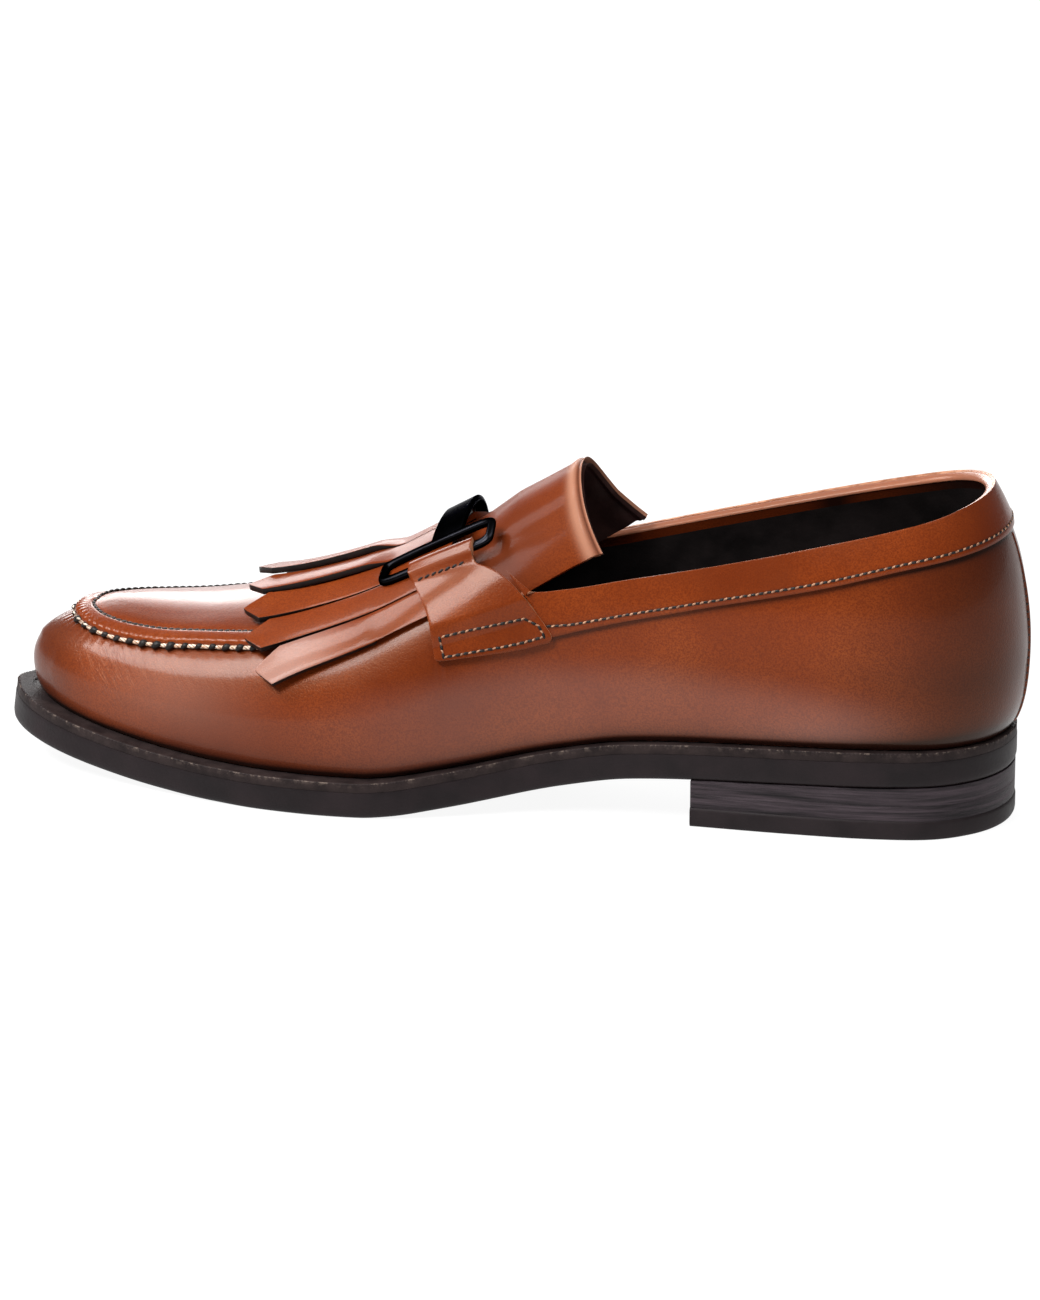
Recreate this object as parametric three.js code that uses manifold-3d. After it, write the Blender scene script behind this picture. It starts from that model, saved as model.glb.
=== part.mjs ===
// A classic leather loafer, one left shoe, standing on its heel and forefoot.
// Millimetres, +Z up, toe towards -X, the outer (lateral) side towards -Y.
//
// Every curved surface is worked out from two things:
//   1. the outline and rise of the sole, as columns over the length;
//   2. the last above it: a feather edge, a bulge line over it, and a spine,
//      joined across by smooth curves.
// s runs from the back of the heel towards the toe, t towards the outer side,
// so that x = soleLength / 2 - s and y = -t.

import * as THREE from "three";
import { mergeVertices } from "three/addons/utils/BufferGeometryUtils.js";
import Module from "manifold-3d";

const wasm = await Module();
wasm.setup();

// ---------------------------------------------------------------- dimensions

const soleLength = 305;
const ballWidth = 97;
const gap = 0.3;

const outsoleThickness = 7.6;
const midsoleThickness = 2.9;
const insoleThickness = 2.4;
const heelLength = 85.5;
const topPieceThickness = 5.8;
const topPieceInset = 0.1;
const stackInset = 0.6;

const wall = 2.0;
const patchGap = 0.45;
const heelFan = 32;
const toeFan = 38;
const spineSoftness = 18;
const heelRise = 16.2;
const toeSpring = 10.1;

// ------------------------------------------------------------------- columns

// Outline of the sole: centre and half width are shares of the ball width.
const outlineTable = {
  along: [0, 0.03, 0.06, 0.126, 0.2, 0.3, 0.38, 0.45, 0.52, 0.58, 0.64, 0.7, 0.76, 0.82, 0.88, 0.93, 0.965, 0.99, 1],
  centre: [0, 0, 0, 0, 0, 0.012, 0.023, 0.034, 0.05, 0.039, 0.01, -0.019, -0.044, -0.059, -0.064, -0.059, -0.055, -0.05, -0.046],
  half: [0, 0.237, 0.306, 0.348, 0.352, 0.328, 0.304, 0.312, 0.366, 0.43, 0.474, 0.486, 0.468, 0.427, 0.365, 0.291, 0.211, 0.113, 0],
};

// Underside of the outsole: rise is a share of heelRise behind the ball and
// of toeSpring in front of it.
const riseTable = {
  along: [0, 0.1, 0.29, 0.36, 0.42, 0.48, 0.54, 0.58, 0.61, 0.71, 0.76, 0.82, 0.88, 0.94, 1],
  rise: [1, 0.965, 0.87, 0.77, 0.58, 0.35, 0.15, 0.04, 0, 0, -0.032, -0.15, -0.352, -0.64, -1],
};

// The last. feather and bulge are distances in from the sole's edge, lift is
// the height of the bulge line over the feather edge, shoulder and crown are
// the two handles of the curve that runs from the bulge line to the spine.
const lastTable = {
  along: [0, 0.04, 0.1, 0.2, 0.3, 0.4, 0.5, 0.6, 0.7, 0.8, 0.9, 0.97, 1],
  feather: [1.6, 1.9, 2.5, 2.8, 2.9, 3.0, 3.9, 5.0, 5.4, 5.6, 6.0, 6.7, 7.0],
  bulge: [-2.8, -2.4, -1.2, -0.2, 0.0, 0.2, 1.4, 2.8, 3.6, 4.2, 5.0, 6.1, 6.6],
  lift: [24, 24, 23, 20, 18, 17, 15.5, 14, 13, 12, 11, 10, 10],
  shoulder: [0.5, 0.5, 0.5, 0.52, 0.55, 0.58, 0.56, 0.52, 0.5, 0.5, 0.48, 0.48, 0.48],
  crown: [0.55, 0.55, 0.55, 0.58, 0.62, 0.66, 0.64, 0.6, 0.58, 0.58, 0.6, 0.62, 0.62],
};

// The spine of the last: height of the leather's outer face and lean to the
// inner side.
const spineTable = {
  at: [30, 60, 90, 112, 126, 142, 158, 171, 186, 205, 228, 245, 265, 285],
  height: [115, 113.5, 110.5, 106.2, 101.1, 91.8, 82.4, 75, 66.6, 58.3, 50.9, 47.8, 46.4, 45.5],
  lean: [0, 0, -1, -1.8, -2.4, -3, -3.6, -4.2, -4.8, -5.4, -6, -6.2, -6.2, -6],
};

// The top line in side view.
const topLine = [
  [-25, 100.5], [0, 98.2], [8, 96.6], [27, 91.3], [45, 86.8], [73, 80], [110, 71.6],
  [128, 67.6], [138, 66.2], [144, 66.4], [150, 69], [157, 73.4], [162, 77.4], [165, 82], [166, 118],
];
const topLineTilt = 0.05;

// The lower edge of the collar band and its front end, in side view.
const bandEdge = [[130.6, 54.4], [92, 64.6], [54, 73.3], [26, 80.6], [2, 84.8], [-25, 88]];
const bandFront = [143.2, 69.4];

// Seam of the apron: how far up the last it runs, 1 being the spine.
const seamTable = {
  along: [0.712, 0.79, 0.84, 0.89, 0.93, 0.97, 1],
  seam: [0.64, 0.66, 0.652, 0.655, 0.675, 0.71, 0.75],
};

// The fringe: one row per strip, outer side first. mid and wide are measured
// over the leather from the spine, root and tip along it, rise off the vamp.
const fringeTable = {
  mid: [43.4, 32.4, 21.8, 10.9, 0, -10.9, -21.8, -32.4, -43.4],
  wide: [11.0, 10.0, 10.2, 10.3, 10.4, 10.3, 10.2, 10.0, 11.0],
  tip: [217, 222.5, 225.5, 227.5, 228.5, 227.5, 225.5, 222.5, 217],
  rise: [2.2, 2.8, 3.4, 3.9, 4.3, 3.9, 3.4, 2.8, 2.2],
};
const fringeRoot = 182;
const fringePoint = 6;
const kiltieBack = 164;
const kiltieThickness = 1.5;
const kiltieReach = 53;
const kiltieFade = 6;

// Front and rear edge of a strap tab, from the bit down: place along the
// spine and distance over the leather.
const strapFront = [[175.6, 28.2], [173, 32.5], [170.4, 37.2], [167.6, 43.2], [165.8, 49], [164.3, 54], [162.9, 57.2]];
const strapRear = [[157.4, 28.2], [155.4, 32], [150.6, 35.4], [145.5, 40], [140.2, 46.6], [136, 53], [132, 60]];
const strapThickness = 1.6;

// The bit: a plain loop over each strap tab and a plain arched band between.
const bitCentre = 168;
const loopLength = 34;
const loopWire = 2.5;
const loopTop = 17.6;
const loopBottom = 27.8;
const bitBase = 2.3;
const bitThickness = 2.3;
const bandWidth = 9;
const bandArch = 0.5;

// The tongue: half its width over the leather, and its rear edge.
const tongueBack = 130.5;
const tongueFront = 176;
const tongueThickness = 2.2;
const tongueLift = 1.9;
const tongueHalf = { outer: 39.5, inner: 36.5, flare: 6 };
const tongueSweep = { outer: 12.5, inner: 15 };
const tongueRise = { front: 158, run: 10, half: 24 };

// ----------------------------------------------------------------- functions

function curveThrough(xs, ys, monotone = false) {
  const n = xs.length;
  const secant = [];
  for (let i = 0; i < n - 1; i++) secant.push((ys[i + 1] - ys[i]) / (xs[i + 1] - xs[i]));
  const slope = xs.map((x, i) => {
    if (i === 0 || i === n - 1) return 0;
    const before = x - xs[i - 1];
    const after = xs[i + 1] - x;
    if (monotone) {
      if (secant[i - 1] * secant[i] <= 0) return 0;
      const wa = 2 * after + before;
      const wb = after + 2 * before;
      return (wa + wb) / (wa / secant[i - 1] + wb / secant[i]);
    }
    return (secant[i - 1] * after + secant[i] * before) / (before + after);
  });
  slope[0] = 1.5 * secant[0] - 0.5 * slope[1];
  slope[n - 1] = 1.5 * secant[n - 2] - 0.5 * slope[n - 2];
  return (x) => {
    if (x <= xs[0]) return ys[0] + slope[0] * (x - xs[0]);
    if (x >= xs[n - 1]) return ys[n - 1] + slope[n - 1] * (x - xs[n - 1]);
    let i = 0;
    while (x > xs[i + 1]) i++;
    const h = xs[i + 1] - xs[i];
    const p = (x - xs[i]) / h;
    const r = 1 - p;
    return ys[i] * (1 + 2 * p) * r * r + ys[i + 1] * (3 - 2 * p) * p * p
      + h * (slope[i] * p * r * r - slope[i + 1] * p * p * r);
  };
}

const stationOf = (along) => Math.acos(1 - 2 * along) / Math.PI;
const alongOf = (station) => (1 - Math.cos(Math.PI * station)) / 2;
const byStation = (table, name) => curveThrough(table.along.map(stationOf), table[name]);

const outline = { centre: byStation(outlineTable, "centre"), half: byStation(outlineTable, "half") };
const last = {};
for (const name of ["feather", "bulge", "lift", "shoulder", "crown"]) last[name] = byStation(lastTable, name);
const spine = { height: curveThrough(spineTable.at, spineTable.height), lean: curveThrough(spineTable.at, spineTable.lean) };
const riseCurve = curveThrough(riseTable.along, riseTable.rise, true);

function rise(s) {
  const r = riseCurve(Math.min(Math.max(s / soleLength, 0), 1));
  return r >= 0 ? r * heelRise : -r * toeSpring;
}

const point = (s, t, z) => [soleLength / 2 - s, -t, z];

// A point over the underside, at a height square to the sole line.
function overSole(s, t, height) {
  const slope = (rise(s + 1) - rise(s - 1)) / 2;
  const size = Math.hypot(1, slope);
  return [s - (slope * height) / size, t, rise(s) + height / size];
}

// The outline as one loop: 0 at the heel, up the outer side to 1 at the toe,
// and back along the inner side to 2.
function loopPoint(u) {
  const w = ((u % 2) + 2) % 2;
  const station = w <= 1 ? w : 2 - w;
  const side = w <= 1 ? 1 : -1;
  return [soleLength * alongOf(station), ballWidth * (outline.centre(station) + side * outline.half(station))];
}

function edge(u, inset) {
  const here = loopPoint(u);
  const a = loopPoint(u - 0.004);
  const b = loopPoint(u + 0.004);
  const ds = b[0] - a[0];
  const dt = b[1] - a[1];
  const size = Math.hypot(ds, dt);
  return [here[0] + (dt / size) * inset, here[1] - (ds / size) * inset];
}

const stationAt = (u) => (u <= 1 ? u : 2 - u);
const softMax = (a, b) => (a + b + Math.hypot(a - b, spineSoftness)) / 2;
const softMin = (a, b) => (a + b - Math.hypot(a - b, spineSoftness)) / 2;
const spineAt = (s) => softMin(softMax(s, heelFan), soleLength - toeFan);
const uppersFoot = outsoleThickness + midsoleThickness + gap * 2;

// The last's surface. v runs from 0 at the feather edge over the bulge line
// to 1 at the spine, and out is the distance outside the leather's face.
const bulgeAt = 0.3;
function surface(u, v, out) {
  const station = stationAt(u);
  const featherEdge = edge(u, last.feather(station) - out);
  const bulgeEdge = edge(u, last.bulge(station) - out);
  const foot = overSole(featherEdge[0], featherEdge[1], uppersFoot);
  const bulge = [bulgeEdge[0], bulgeEdge[1], foot[2] + last.lift(station)];
  if (v < bulgeAt) {
    const p = v / bulgeAt;
    const r = 1 - p;
    const handle = [bulge[0], bulge[1], foot[2] + 0.22 * last.lift(station)];
    return [0, 1, 2].map((k) => foot[k] * r * r + 2 * handle[k] * r * p + bulge[k] * p * p);
  }
  const across = loopPoint(station)[0];
  const at = spineAt(across);
  const slope = (spine.height(at + 1) - spine.height(at - 1)) / 2;
  const top = [at, spine.lean(at), spine.height(at) + out];
  const shoulder = last.shoulder(station);
  const crown = last.crown(station);
  const one = [bulge[0], bulge[1], bulge[2] + shoulder * (top[2] - bulge[2])];
  const two = [
    top[0] + crown * (bulge[0] - top[0]),
    top[1] + crown * (bulge[1] - top[1]),
    top[2] + slope * crown * (bulge[0] - top[0]),
  ];
  const p = (v - bulgeAt) / (1 - bulgeAt);
  const r = 1 - p;
  return [0, 1, 2].map((k) => bulge[k] * r ** 3 + 3 * one[k] * r * r * p + 3 * two[k] * r * p * p + top[k] * p ** 3);
}

// The point of the last that lies a given distance down from the spine at s,
// measured over the leather (a > 0 on the outer side).
function onLast(s, a, out) {
  let low = 0.02;
  let high = 0.98;
  for (let i = 0; i < 30; i++) {
    const mid = (low + high) / 2;
    if (spineAt(loopPoint(mid)[0]) < s) low = mid;
    else high = mid;
  }
  const u = a >= 0 ? low : 2 - low;
  let before = surface(u, 1, 0);
  let walked = 0;
  const step = 0.02;
  for (let v = 1 - step; v > -1e-6; v -= step) {
    const next = surface(u, Math.max(v, 0), 0);
    const length = Math.hypot(next[0] - before[0], next[1] - before[1], next[2] - before[2]);
    if (walked + length >= Math.abs(a)) {
      return surface(u, v + step - (step * (Math.abs(a) - walked)) / length, out);
    }
    walked += length;
    before = next;
  }
  return surface(u, 0, out);
}

// -------------------------------------------------------------------- solids

function geometryOf(points, triangles) {
  const geometry = new THREE.BufferGeometry();
  geometry.setAttribute("position", new THREE.BufferAttribute(new Float32Array(points.flat()), 3));
  geometry.setIndex(triangles.flat());
  const merged = mergeVertices(geometry, 1e-3);
  const index = merged.getIndex().array;
  const kept = [];
  for (let i = 0; i < index.length; i += 3) {
    const [a, b, c] = [index[i], index[i + 1], index[i + 2]];
    if (a !== b && b !== c && c !== a) kept.push(a, b, c);
  }
  merged.setIndex(kept);
  const position = merged.getAttribute("position").array;
  let volume = 0;
  for (let i = 0; i < kept.length; i += 3) {
    const [a, b, c] = [0, 1, 2].map((k) => new THREE.Vector3().fromArray(position, kept[i + k] * 3));
    volume += a.dot(b.cross(c));
  }
  if (volume < 0) {
    for (let i = 0; i < kept.length; i += 3) [kept[i + 1], kept[i + 2]] = [kept[i + 2], kept[i + 1]];
    merged.setIndex(kept);
  }
  return merged;
}

function solidOf(geometry) {
  const clean = geometry.index ? geometry.clone() : mergeVertices(geometry.clone().deleteAttribute("normal").deleteAttribute("uv"), 1e-4);
  const mesh = new wasm.Mesh({
    numProp: 3,
    vertProperties: new Float32Array(clean.getAttribute("position").array),
    triVerts: new Uint32Array(clean.getIndex().array),
  });
  return new wasm.Manifold(mesh);
}

function geometryFrom(solid) {
  const mesh = solid.getMesh();
  const geometry = new THREE.BufferGeometry();
  geometry.setAttribute("position", new THREE.BufferAttribute(new Float32Array(mesh.vertProperties), 3));
  geometry.setIndex(Array.from(mesh.triVerts));
  return geometry;
}

// Closed solid from rings of equal length, with ladder caps across the ends.
function ringSolid(rings) {
  const n = rings[0].length;
  const points = rings.flat();
  const triangles = [];
  for (let r = 0; r < rings.length - 1; r++) {
    for (let i = 0; i < n; i++) {
      const a = r * n + i;
      const b = r * n + ((i + 1) % n);
      triangles.push([a, b, b + n], [a, b + n, a + n]);
    }
  }
  const cap = (base, flip) => {
    let i = 0;
    let j = n - 1;
    const rung = [[0, 1, n - 1]];
    i = 1;
    while (j - i > 1) {
      rung.push([i, i + 1, j]);
      if (j - i > 2) rung.push([i + 1, j - 1, j]);
      i++;
      j--;
    }
    for (const [a, b, c] of rung) {
      if (a === b || b === c || a === c) continue;
      triangles.push(flip ? [base + a, base + c, base + b] : [base + a, base + b, base + c]);
    }
  };
  cap(0, true);
  cap((rings.length - 1) * n, false);
  return geometryOf(points, triangles);
}

// Closed solid between two matching grids of points. With closedEnd the last
// column folds onto itself, so it gets no wall.
function slab(outer, inner, closedEnd = false) {
  const rows = outer.length;
  const columns = outer[0].length;
  const points = [...outer.flat(), ...inner.flat()];
  const under = rows * columns;
  const triangles = [];
  for (let i = 0; i < rows - 1; i++) {
    for (let j = 0; j < columns - 1; j++) {
      const a = i * columns + j;
      const b = a + 1;
      const c = a + columns + 1;
      const d = a + columns;
      triangles.push([a, b, c], [a, c, d], [under + a, under + c, under + b], [under + a, under + d, under + c]);
    }
  }
  const rim = [];
  for (let j = 0; j < columns - 1; j++) rim.push([j, j + 1]);
  if (!closedEnd) for (let i = 0; i < rows - 1; i++) rim.push([i * columns + columns - 1, (i + 1) * columns + columns - 1]);
  for (let j = columns - 1; j > 0; j--) rim.push([(rows - 1) * columns + j, (rows - 1) * columns + j - 1]);
  for (let i = rows - 1; i > 0; i--) rim.push([i * columns, (i - 1) * columns]);
  for (const [a, b] of rim) triangles.push([a, under + a, under + b], [a, under + b, b]);
  return geometryOf(points, triangles);
}

// The same with cells left out: keep(i, j) says which cells of the grid stay.
function maskedSlab(outer, inner, keep) {
  const rows = outer.length;
  const columns = outer[0].length;
  const points = [...outer.flat(), ...inner.flat()];
  const under = rows * columns;
  const kept = (i, j) => i >= 0 && j >= 0 && i < rows - 1 && j < columns - 1 && keep(i, j);
  const triangles = [];
  for (let i = 0; i < rows - 1; i++) {
    for (let j = 0; j < columns - 1; j++) {
      if (!kept(i, j)) continue;
      const a = i * columns + j;
      const b = a + 1;
      const c = a + columns + 1;
      const d = a + columns;
      triangles.push([a, b, c], [a, c, d], [under + a, under + c, under + b], [under + a, under + d, under + c]);
      const sides = [[kept(i - 1, j), a, b], [kept(i, j + 1), b, c], [kept(i + 1, j), c, d], [kept(i, j - 1), d, a]];
      for (const [shared, m, n] of sides) if (!shared) triangles.push([m, under + m, under + n], [m, under + n, n]);
    }
  }
  return geometryOf(points, triangles);
}

// A prism across the shoe from a closed side view of [s, z] pairs.
function sidePrism(profile, halfWidth) {
  const shape = new THREE.Shape(profile.map(([s, z]) => new THREE.Vector2(soleLength / 2 - s, z)));
  const geometry = new THREE.ExtrudeGeometry(shape, { depth: 2 * halfWidth, bevelEnabled: false, steps: 1 });
  geometry.rotateX(Math.PI / 2);
  geometry.translate(0, halfWidth, 0);
  return geometry;
}

const spread = (from, to, count) => Array.from({ length: count + 1 }, (_, i) => from + ((to - from) * i) / count);

const group = new THREE.Group();
function place(name, geometry, colour, roughness, metalness = 0) {
  const mesh = new THREE.Mesh(geometry, new THREE.MeshStandardMaterial({ color: colour, roughness, metalness }));
  mesh.name = name;
  group.add(mesh);
}

const leatherColour = "#8a4a26";
const soleColour = "#262120";
const liningColour = "#1b1716";

// ---------------------------------------------------------------------- sole

const around = 88;
const loop = spread(0, 2, around).slice(0, -1);
const soleRing = (inset, height) => loop.map((u) => point(...overSole(...edge(u, inset), height)));

const outsole = ringSolid([
  soleRing(1.1, 0), soleRing(0.3, 0.9), soleRing(0, 2.6), soleRing(0, outsoleThickness - 0.3), soleRing(0.3, outsoleThickness),
]);
place("outsole", outsole, soleColour, 0.55);

const midBase = outsoleThickness + gap;
const midsole = ringSolid([
  soleRing(0.35, midBase), soleRing(0.1, midBase + 0.4), soleRing(0.1, midBase + midsoleThickness - 0.6), soleRing(0.6, midBase + midsoleThickness),
]);
place("midsole", midsole, soleColour, 0.5);

// The heel: a stack under the outsole and a top piece that meets the ground.
function heelRing(inset, height) {
  return loop.map((u) => {
    const [s, t] = edge(u, inset);
    return point(s, t, typeof height === "function" ? height(s) : height);
  });
}
const breast = (lift) => sidePrism([[-40, -40], [heelLength + 5 + lift, -40], [heelLength + 5 + lift, -1], [heelLength + 3.6 + lift, 30], [-40, 30]], 90);
const heelTop = (s) => rise(s) - gap;
const topPiece = geometryFrom(solidOf(ringSolid([
  heelRing(topPieceInset + 0.6, 0), heelRing(topPieceInset, 0.6), heelRing(topPieceInset, topPieceThickness),
])).intersect(solidOf(breast(0))));
place("heel_top_piece", topPiece, soleColour, 0.6);
const stack = geometryFrom(solidOf(ringSolid([
  heelRing(stackInset, topPieceThickness + gap), heelRing(stackInset, (s) => Math.max(heelTop(s), topPieceThickness + 0.8)),
])).intersect(solidOf(breast(-0.6))));
place("heel_stack", stack, soleColour, 0.55);

// --------------------------------------------------------------------- upper

const sheetRows = (count) => spread(0, 1, count).map((p) => p);
function lastRings(out, rows) {
  return rows.map((v) => loop.map((u) => point(...surface(u, v, out))));
}

// Outer and inner skins of the leather, joined round the feather edge: one
// hollow, open underneath.
function shell(outerOut, innerOut, outerRows, innerRows) {
  const n = loop.length;
  const rings = [...lastRings(innerOut, [...innerRows].reverse()), ...lastRings(outerOut, outerRows)];
  const points = rings.flat();
  const triangles = [];
  for (let r = 0; r < rings.length - 1; r++) {
    for (let i = 0; i < n; i++) {
      const a = r * n + i;
      const b = r * n + ((i + 1) % n);
      triangles.push([a, b, b + n], [a, b + n, a + n]);
    }
  }
  return geometryOf(points, triangles);
}

const tilt = (solid) => {
  const lean = new THREE.Matrix4().set(1, 0, 0, 0, 0, 1, 0, 0, 0, -topLineTilt, 1, -28 * topLineTilt, 0, 0, 0, 1);
  return solidOf(solid.applyMatrix4(lean));
};
const openingProfile = [...topLine, [166, 170], [-25, 170]];
const opening = tilt(sidePrism(openingProfile, 90));
const upperRows = [0, 0.05, 0.11, 0.19, 0.3, 0.4, 0.5, 0.59, 0.67, 0.75, 0.83, 0.91, 1];
const liningRows = [0, 0.08, 0.18, 0.3, 0.42, 0.54, 0.66, 0.78, 0.89, 1];
const upper = geometryFrom(solidOf(shell(0, -wall, upperRows, liningRows)).subtract(opening));
place("upper", upper, leatherColour, 0.35);

// The collar band, sewn round the outside of the top line.
const bandRows = [0.3, 0.4, 0.5, 0.59, 0.67, 0.75, 0.83, 0.91, 1];
const bandShape = tilt(sidePrism([...topLine.slice(0, 9), bandFront, ...bandEdge], 90));
const band = geometryFrom(solidOf(shell(patchGap + 1.1, patchGap, bandRows, bandRows)).intersect(bandShape));
place("collar_band", band, leatherColour, 0.35);

// The apron: the plug of the vamp, with its raised edge along the seam.
const seam = curveThrough(seamTable.along.map(stationOf), seamTable.seam);
const apronRows = [0, 0.07, 0.16, 0.26, 0.45, 0.72, 1];
const apronRaise = [1.3, 2.3, 2.2, 1.5, 1.5, 1.5, 1.5];
const apronStart = stationOf(seamTable.along[0]);
const apronSpan = spread(apronStart, 2 - apronStart, 40);
const apronGrid = (out) => apronSpan.map((u) => apronRows.map((p, k) => {
  const from = seam(stationAt(u));
  return point(...surface(u, from + (1 - from) * p, out(k)));
}));
place("apron", slab(apronGrid((k) => patchGap + apronRaise[k] - 0.3), apronGrid(() => patchGap), true), leatherColour, 0.35);

// The tongue: a flap that starts under the vamp and rises out of the throat.
const tongueGrid = (out) => spread(0, 1, 9).map((p) => spread(-1, 1, 14).map((w) => {
  const half = (w > 0 ? tongueHalf.outer : tongueHalf.inner) + tongueHalf.flare * Math.min(1, p * 1.9);
  const back = tongueBack - (w > 0 ? tongueSweep.outer : tongueSweep.inner) * Math.abs(w) ** 1.9;
  const s = back + (tongueFront - back) * p;
  const clear = Math.min(1, Math.max(0, (tongueRise.front - s) / tongueRise.run)) * Math.max(0, 1 - (w * half / tongueRise.half) ** 2);
  return point(...onLast(s, half * w, out + tongueLift * clear));
}));
const tongueTop = -(wall + patchGap);
place("tongue", slab(tongueGrid(tongueTop - 0.15), tongueGrid(tongueTop - tongueThickness)), leatherColour, 0.4);

// The kiltie: one piece of leather cut into strips over the apron's end.
const kiltieRows = spread(kiltieBack, fringeRoot, 3);
const fringeRows = [0.22, 0.46, 0.72, 1];
const kiltieColumns = fringeTable.mid.flatMap((mid, k) => [0.5, 0, -0.5].map((w) => ({ mid, wide: fringeTable.wide[k], k, w })));
const kiltieGrid = (out) => [
  ...kiltieRows.map((s) => kiltieColumns.map(({ mid, wide, w }) => {
    return point(...onLast(s, (mid + w * wide) * (0.87 + (0.06 * (s - kiltieBack)) / (fringeRoot - kiltieBack)), patchGap + out));
  })),
  ...fringeRows.map((p) => kiltieColumns.map(({ mid, wide, k, w }) => {
    const tip = fringeTable.tip[k] - (p === 1 && w !== 0 ? fringePoint : 0);
    const s = fringeRoot + (tip - fringeRoot) * p;
    const lift = fringeTable.rise[k] * ((s - fringeRoot) / (fringeTable.tip[k] - fringeRoot)) ** 2;
    return point(...onLast(s, (mid + w * wide) * (0.93 + 0.09 * p), patchGap + lift + out));
  })),
];
const slit = (i, j) => !(i >= kiltieRows.length - 1 && j % 3 === 2);
place("kiltie", maskedSlab(kiltieGrid(kiltieThickness), kiltieGrid(0), slit), leatherColour, 0.35);

// The strap tabs, from the bit down over the sides.
function strap(side) {
  const grid = (out) => strapFront.map((front, i) => spread(0, 1, 4).map((p) => {
    const s = front[0] + (strapRear[i][0] - front[0]) * p;
    const a = front[1] + (strapRear[i][1] - front[1]) * p;
    const overKiltie = Math.min(1, Math.max(0, (kiltieReach - a) / kiltieFade));
    return point(...onLast(s, side * a, patchGap + overKiltie * (kiltieThickness + gap) + out));
  }));
  return slab(grid(strapThickness), grid(0));
}
place("strap_lateral", strap(1), leatherColour, 0.35);
place("strap_medial", strap(-1), leatherColour, 0.35);

// The bit.
function bitLoop(side) {
  const along = [-0.5, -0.5 + loopWire / loopLength, -0.2, 0.2, 0.5 - loopWire / loopLength, 0.5].map((w) => bitCentre + w * loopLength);
  const down = [loopTop, loopTop + loopWire, loopBottom - loopWire, loopBottom];
  const grid = (out) => along.map((s) => down.map((a) => point(...onLast(s, side * a, out))));
  return solidOf(maskedSlab(grid(bitBase + bitThickness), grid(bitBase), (i, j) => !(j === 1 && i > 0 && i < 4)));
}
const archGrid = (thickness) => spread(-1, 1, 12).map((w) => [-0.5, 0.5].map((p) => {
  const a = w * (loopTop + loopWire / 2);
  const lift = bitBase + 0.35 + bandArch * (1 - w ** 4);
  return point(...onLast(bitCentre - 1.5 + p * bandWidth, a, lift + thickness));
}));
const bitBand = solidOf(slab(archGrid(bitThickness - 0.5), archGrid(0)));
place("bit", geometryFrom(bitLoop(1).add(bitLoop(-1)).add(bitBand)), "#2b2b2e", 0.3, 0.9);

// ------------------------------------------------------------------- insole

const insoleInset = (u) => last.feather(stationAt(u)) + wall + 0.7;
const insoleRing = (height, more) => loop.map((u) => point(...overSole(...edge(u, insoleInset(u) + more), height)));
const insoleBase = outsoleThickness + midsoleThickness + 2 * gap;
const insole = ringSolid([
  insoleRing(insoleBase, 0), insoleRing(insoleBase + insoleThickness - 0.5, 0), insoleRing(insoleBase + insoleThickness, 0.5),
]);
place("insole", insole, liningColour, 0.7);

// The origin is the middle of the footprint, on the ground.
const bounds = new THREE.Box3().setFromObject(group);
group.position.set(-(bounds.min.x + bounds.max.x) / 2, -(bounds.min.y + bounds.max.y) / 2, -bounds.min.z);
group.updateMatrixWorld(true);
export default group;
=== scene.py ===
import math
import random
import bpy
import numpy as np
from mathutils import Matrix, Vector


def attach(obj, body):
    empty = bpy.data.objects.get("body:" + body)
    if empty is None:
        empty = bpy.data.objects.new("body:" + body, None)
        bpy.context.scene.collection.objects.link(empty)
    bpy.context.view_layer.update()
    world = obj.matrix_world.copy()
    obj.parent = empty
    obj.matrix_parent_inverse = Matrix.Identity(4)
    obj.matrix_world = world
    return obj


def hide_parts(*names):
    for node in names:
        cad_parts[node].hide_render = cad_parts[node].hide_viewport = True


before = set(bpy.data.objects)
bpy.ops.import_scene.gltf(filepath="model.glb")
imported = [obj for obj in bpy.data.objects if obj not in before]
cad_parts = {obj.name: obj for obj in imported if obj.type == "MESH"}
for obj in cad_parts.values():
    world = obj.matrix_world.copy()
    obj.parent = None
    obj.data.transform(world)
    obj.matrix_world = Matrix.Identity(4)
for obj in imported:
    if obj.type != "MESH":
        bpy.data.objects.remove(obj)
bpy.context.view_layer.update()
bpy.ops.object.select_all(action="DESELECT")

# Lengths are millimetres up to the place() call, which turns them into metres.
# s runs from the back of the heel to the toe, t to the outer side of the foot.
shoe = {
    "soleLength": 305.0, "ballWidth": 97.0, "heelRise": 16.2, "toeSpring": 10.1,
    "outsole": 7.6, "midsole": 2.9, "gap": 0.3, "wall": 2.0, "patchGap": 0.45,
    "heelFan": 32.0, "toeFan": 38.0, "spineSoftness": 18.0,
    "shiftX": -1.5356, "shiftY": -1.4180,
}
outlineTable = {
    "along": [0, 0.03, 0.06, 0.126, 0.2, 0.3, 0.38, 0.45, 0.52, 0.58,
              0.64, 0.7, 0.76, 0.82, 0.88, 0.93, 0.965, 0.99, 1],
    "centre": [0, 0, 0, 0, 0, 0.012, 0.023, 0.034, 0.05, 0.039,
               0.01, -0.019, -0.044, -0.059, -0.064, -0.059, -0.055, -0.05, -0.046],
    "half": [0, 0.237, 0.306, 0.348, 0.352, 0.328, 0.304, 0.312, 0.366, 0.43,
             0.474, 0.486, 0.468, 0.427, 0.365, 0.291, 0.211, 0.113, 0],
}
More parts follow.
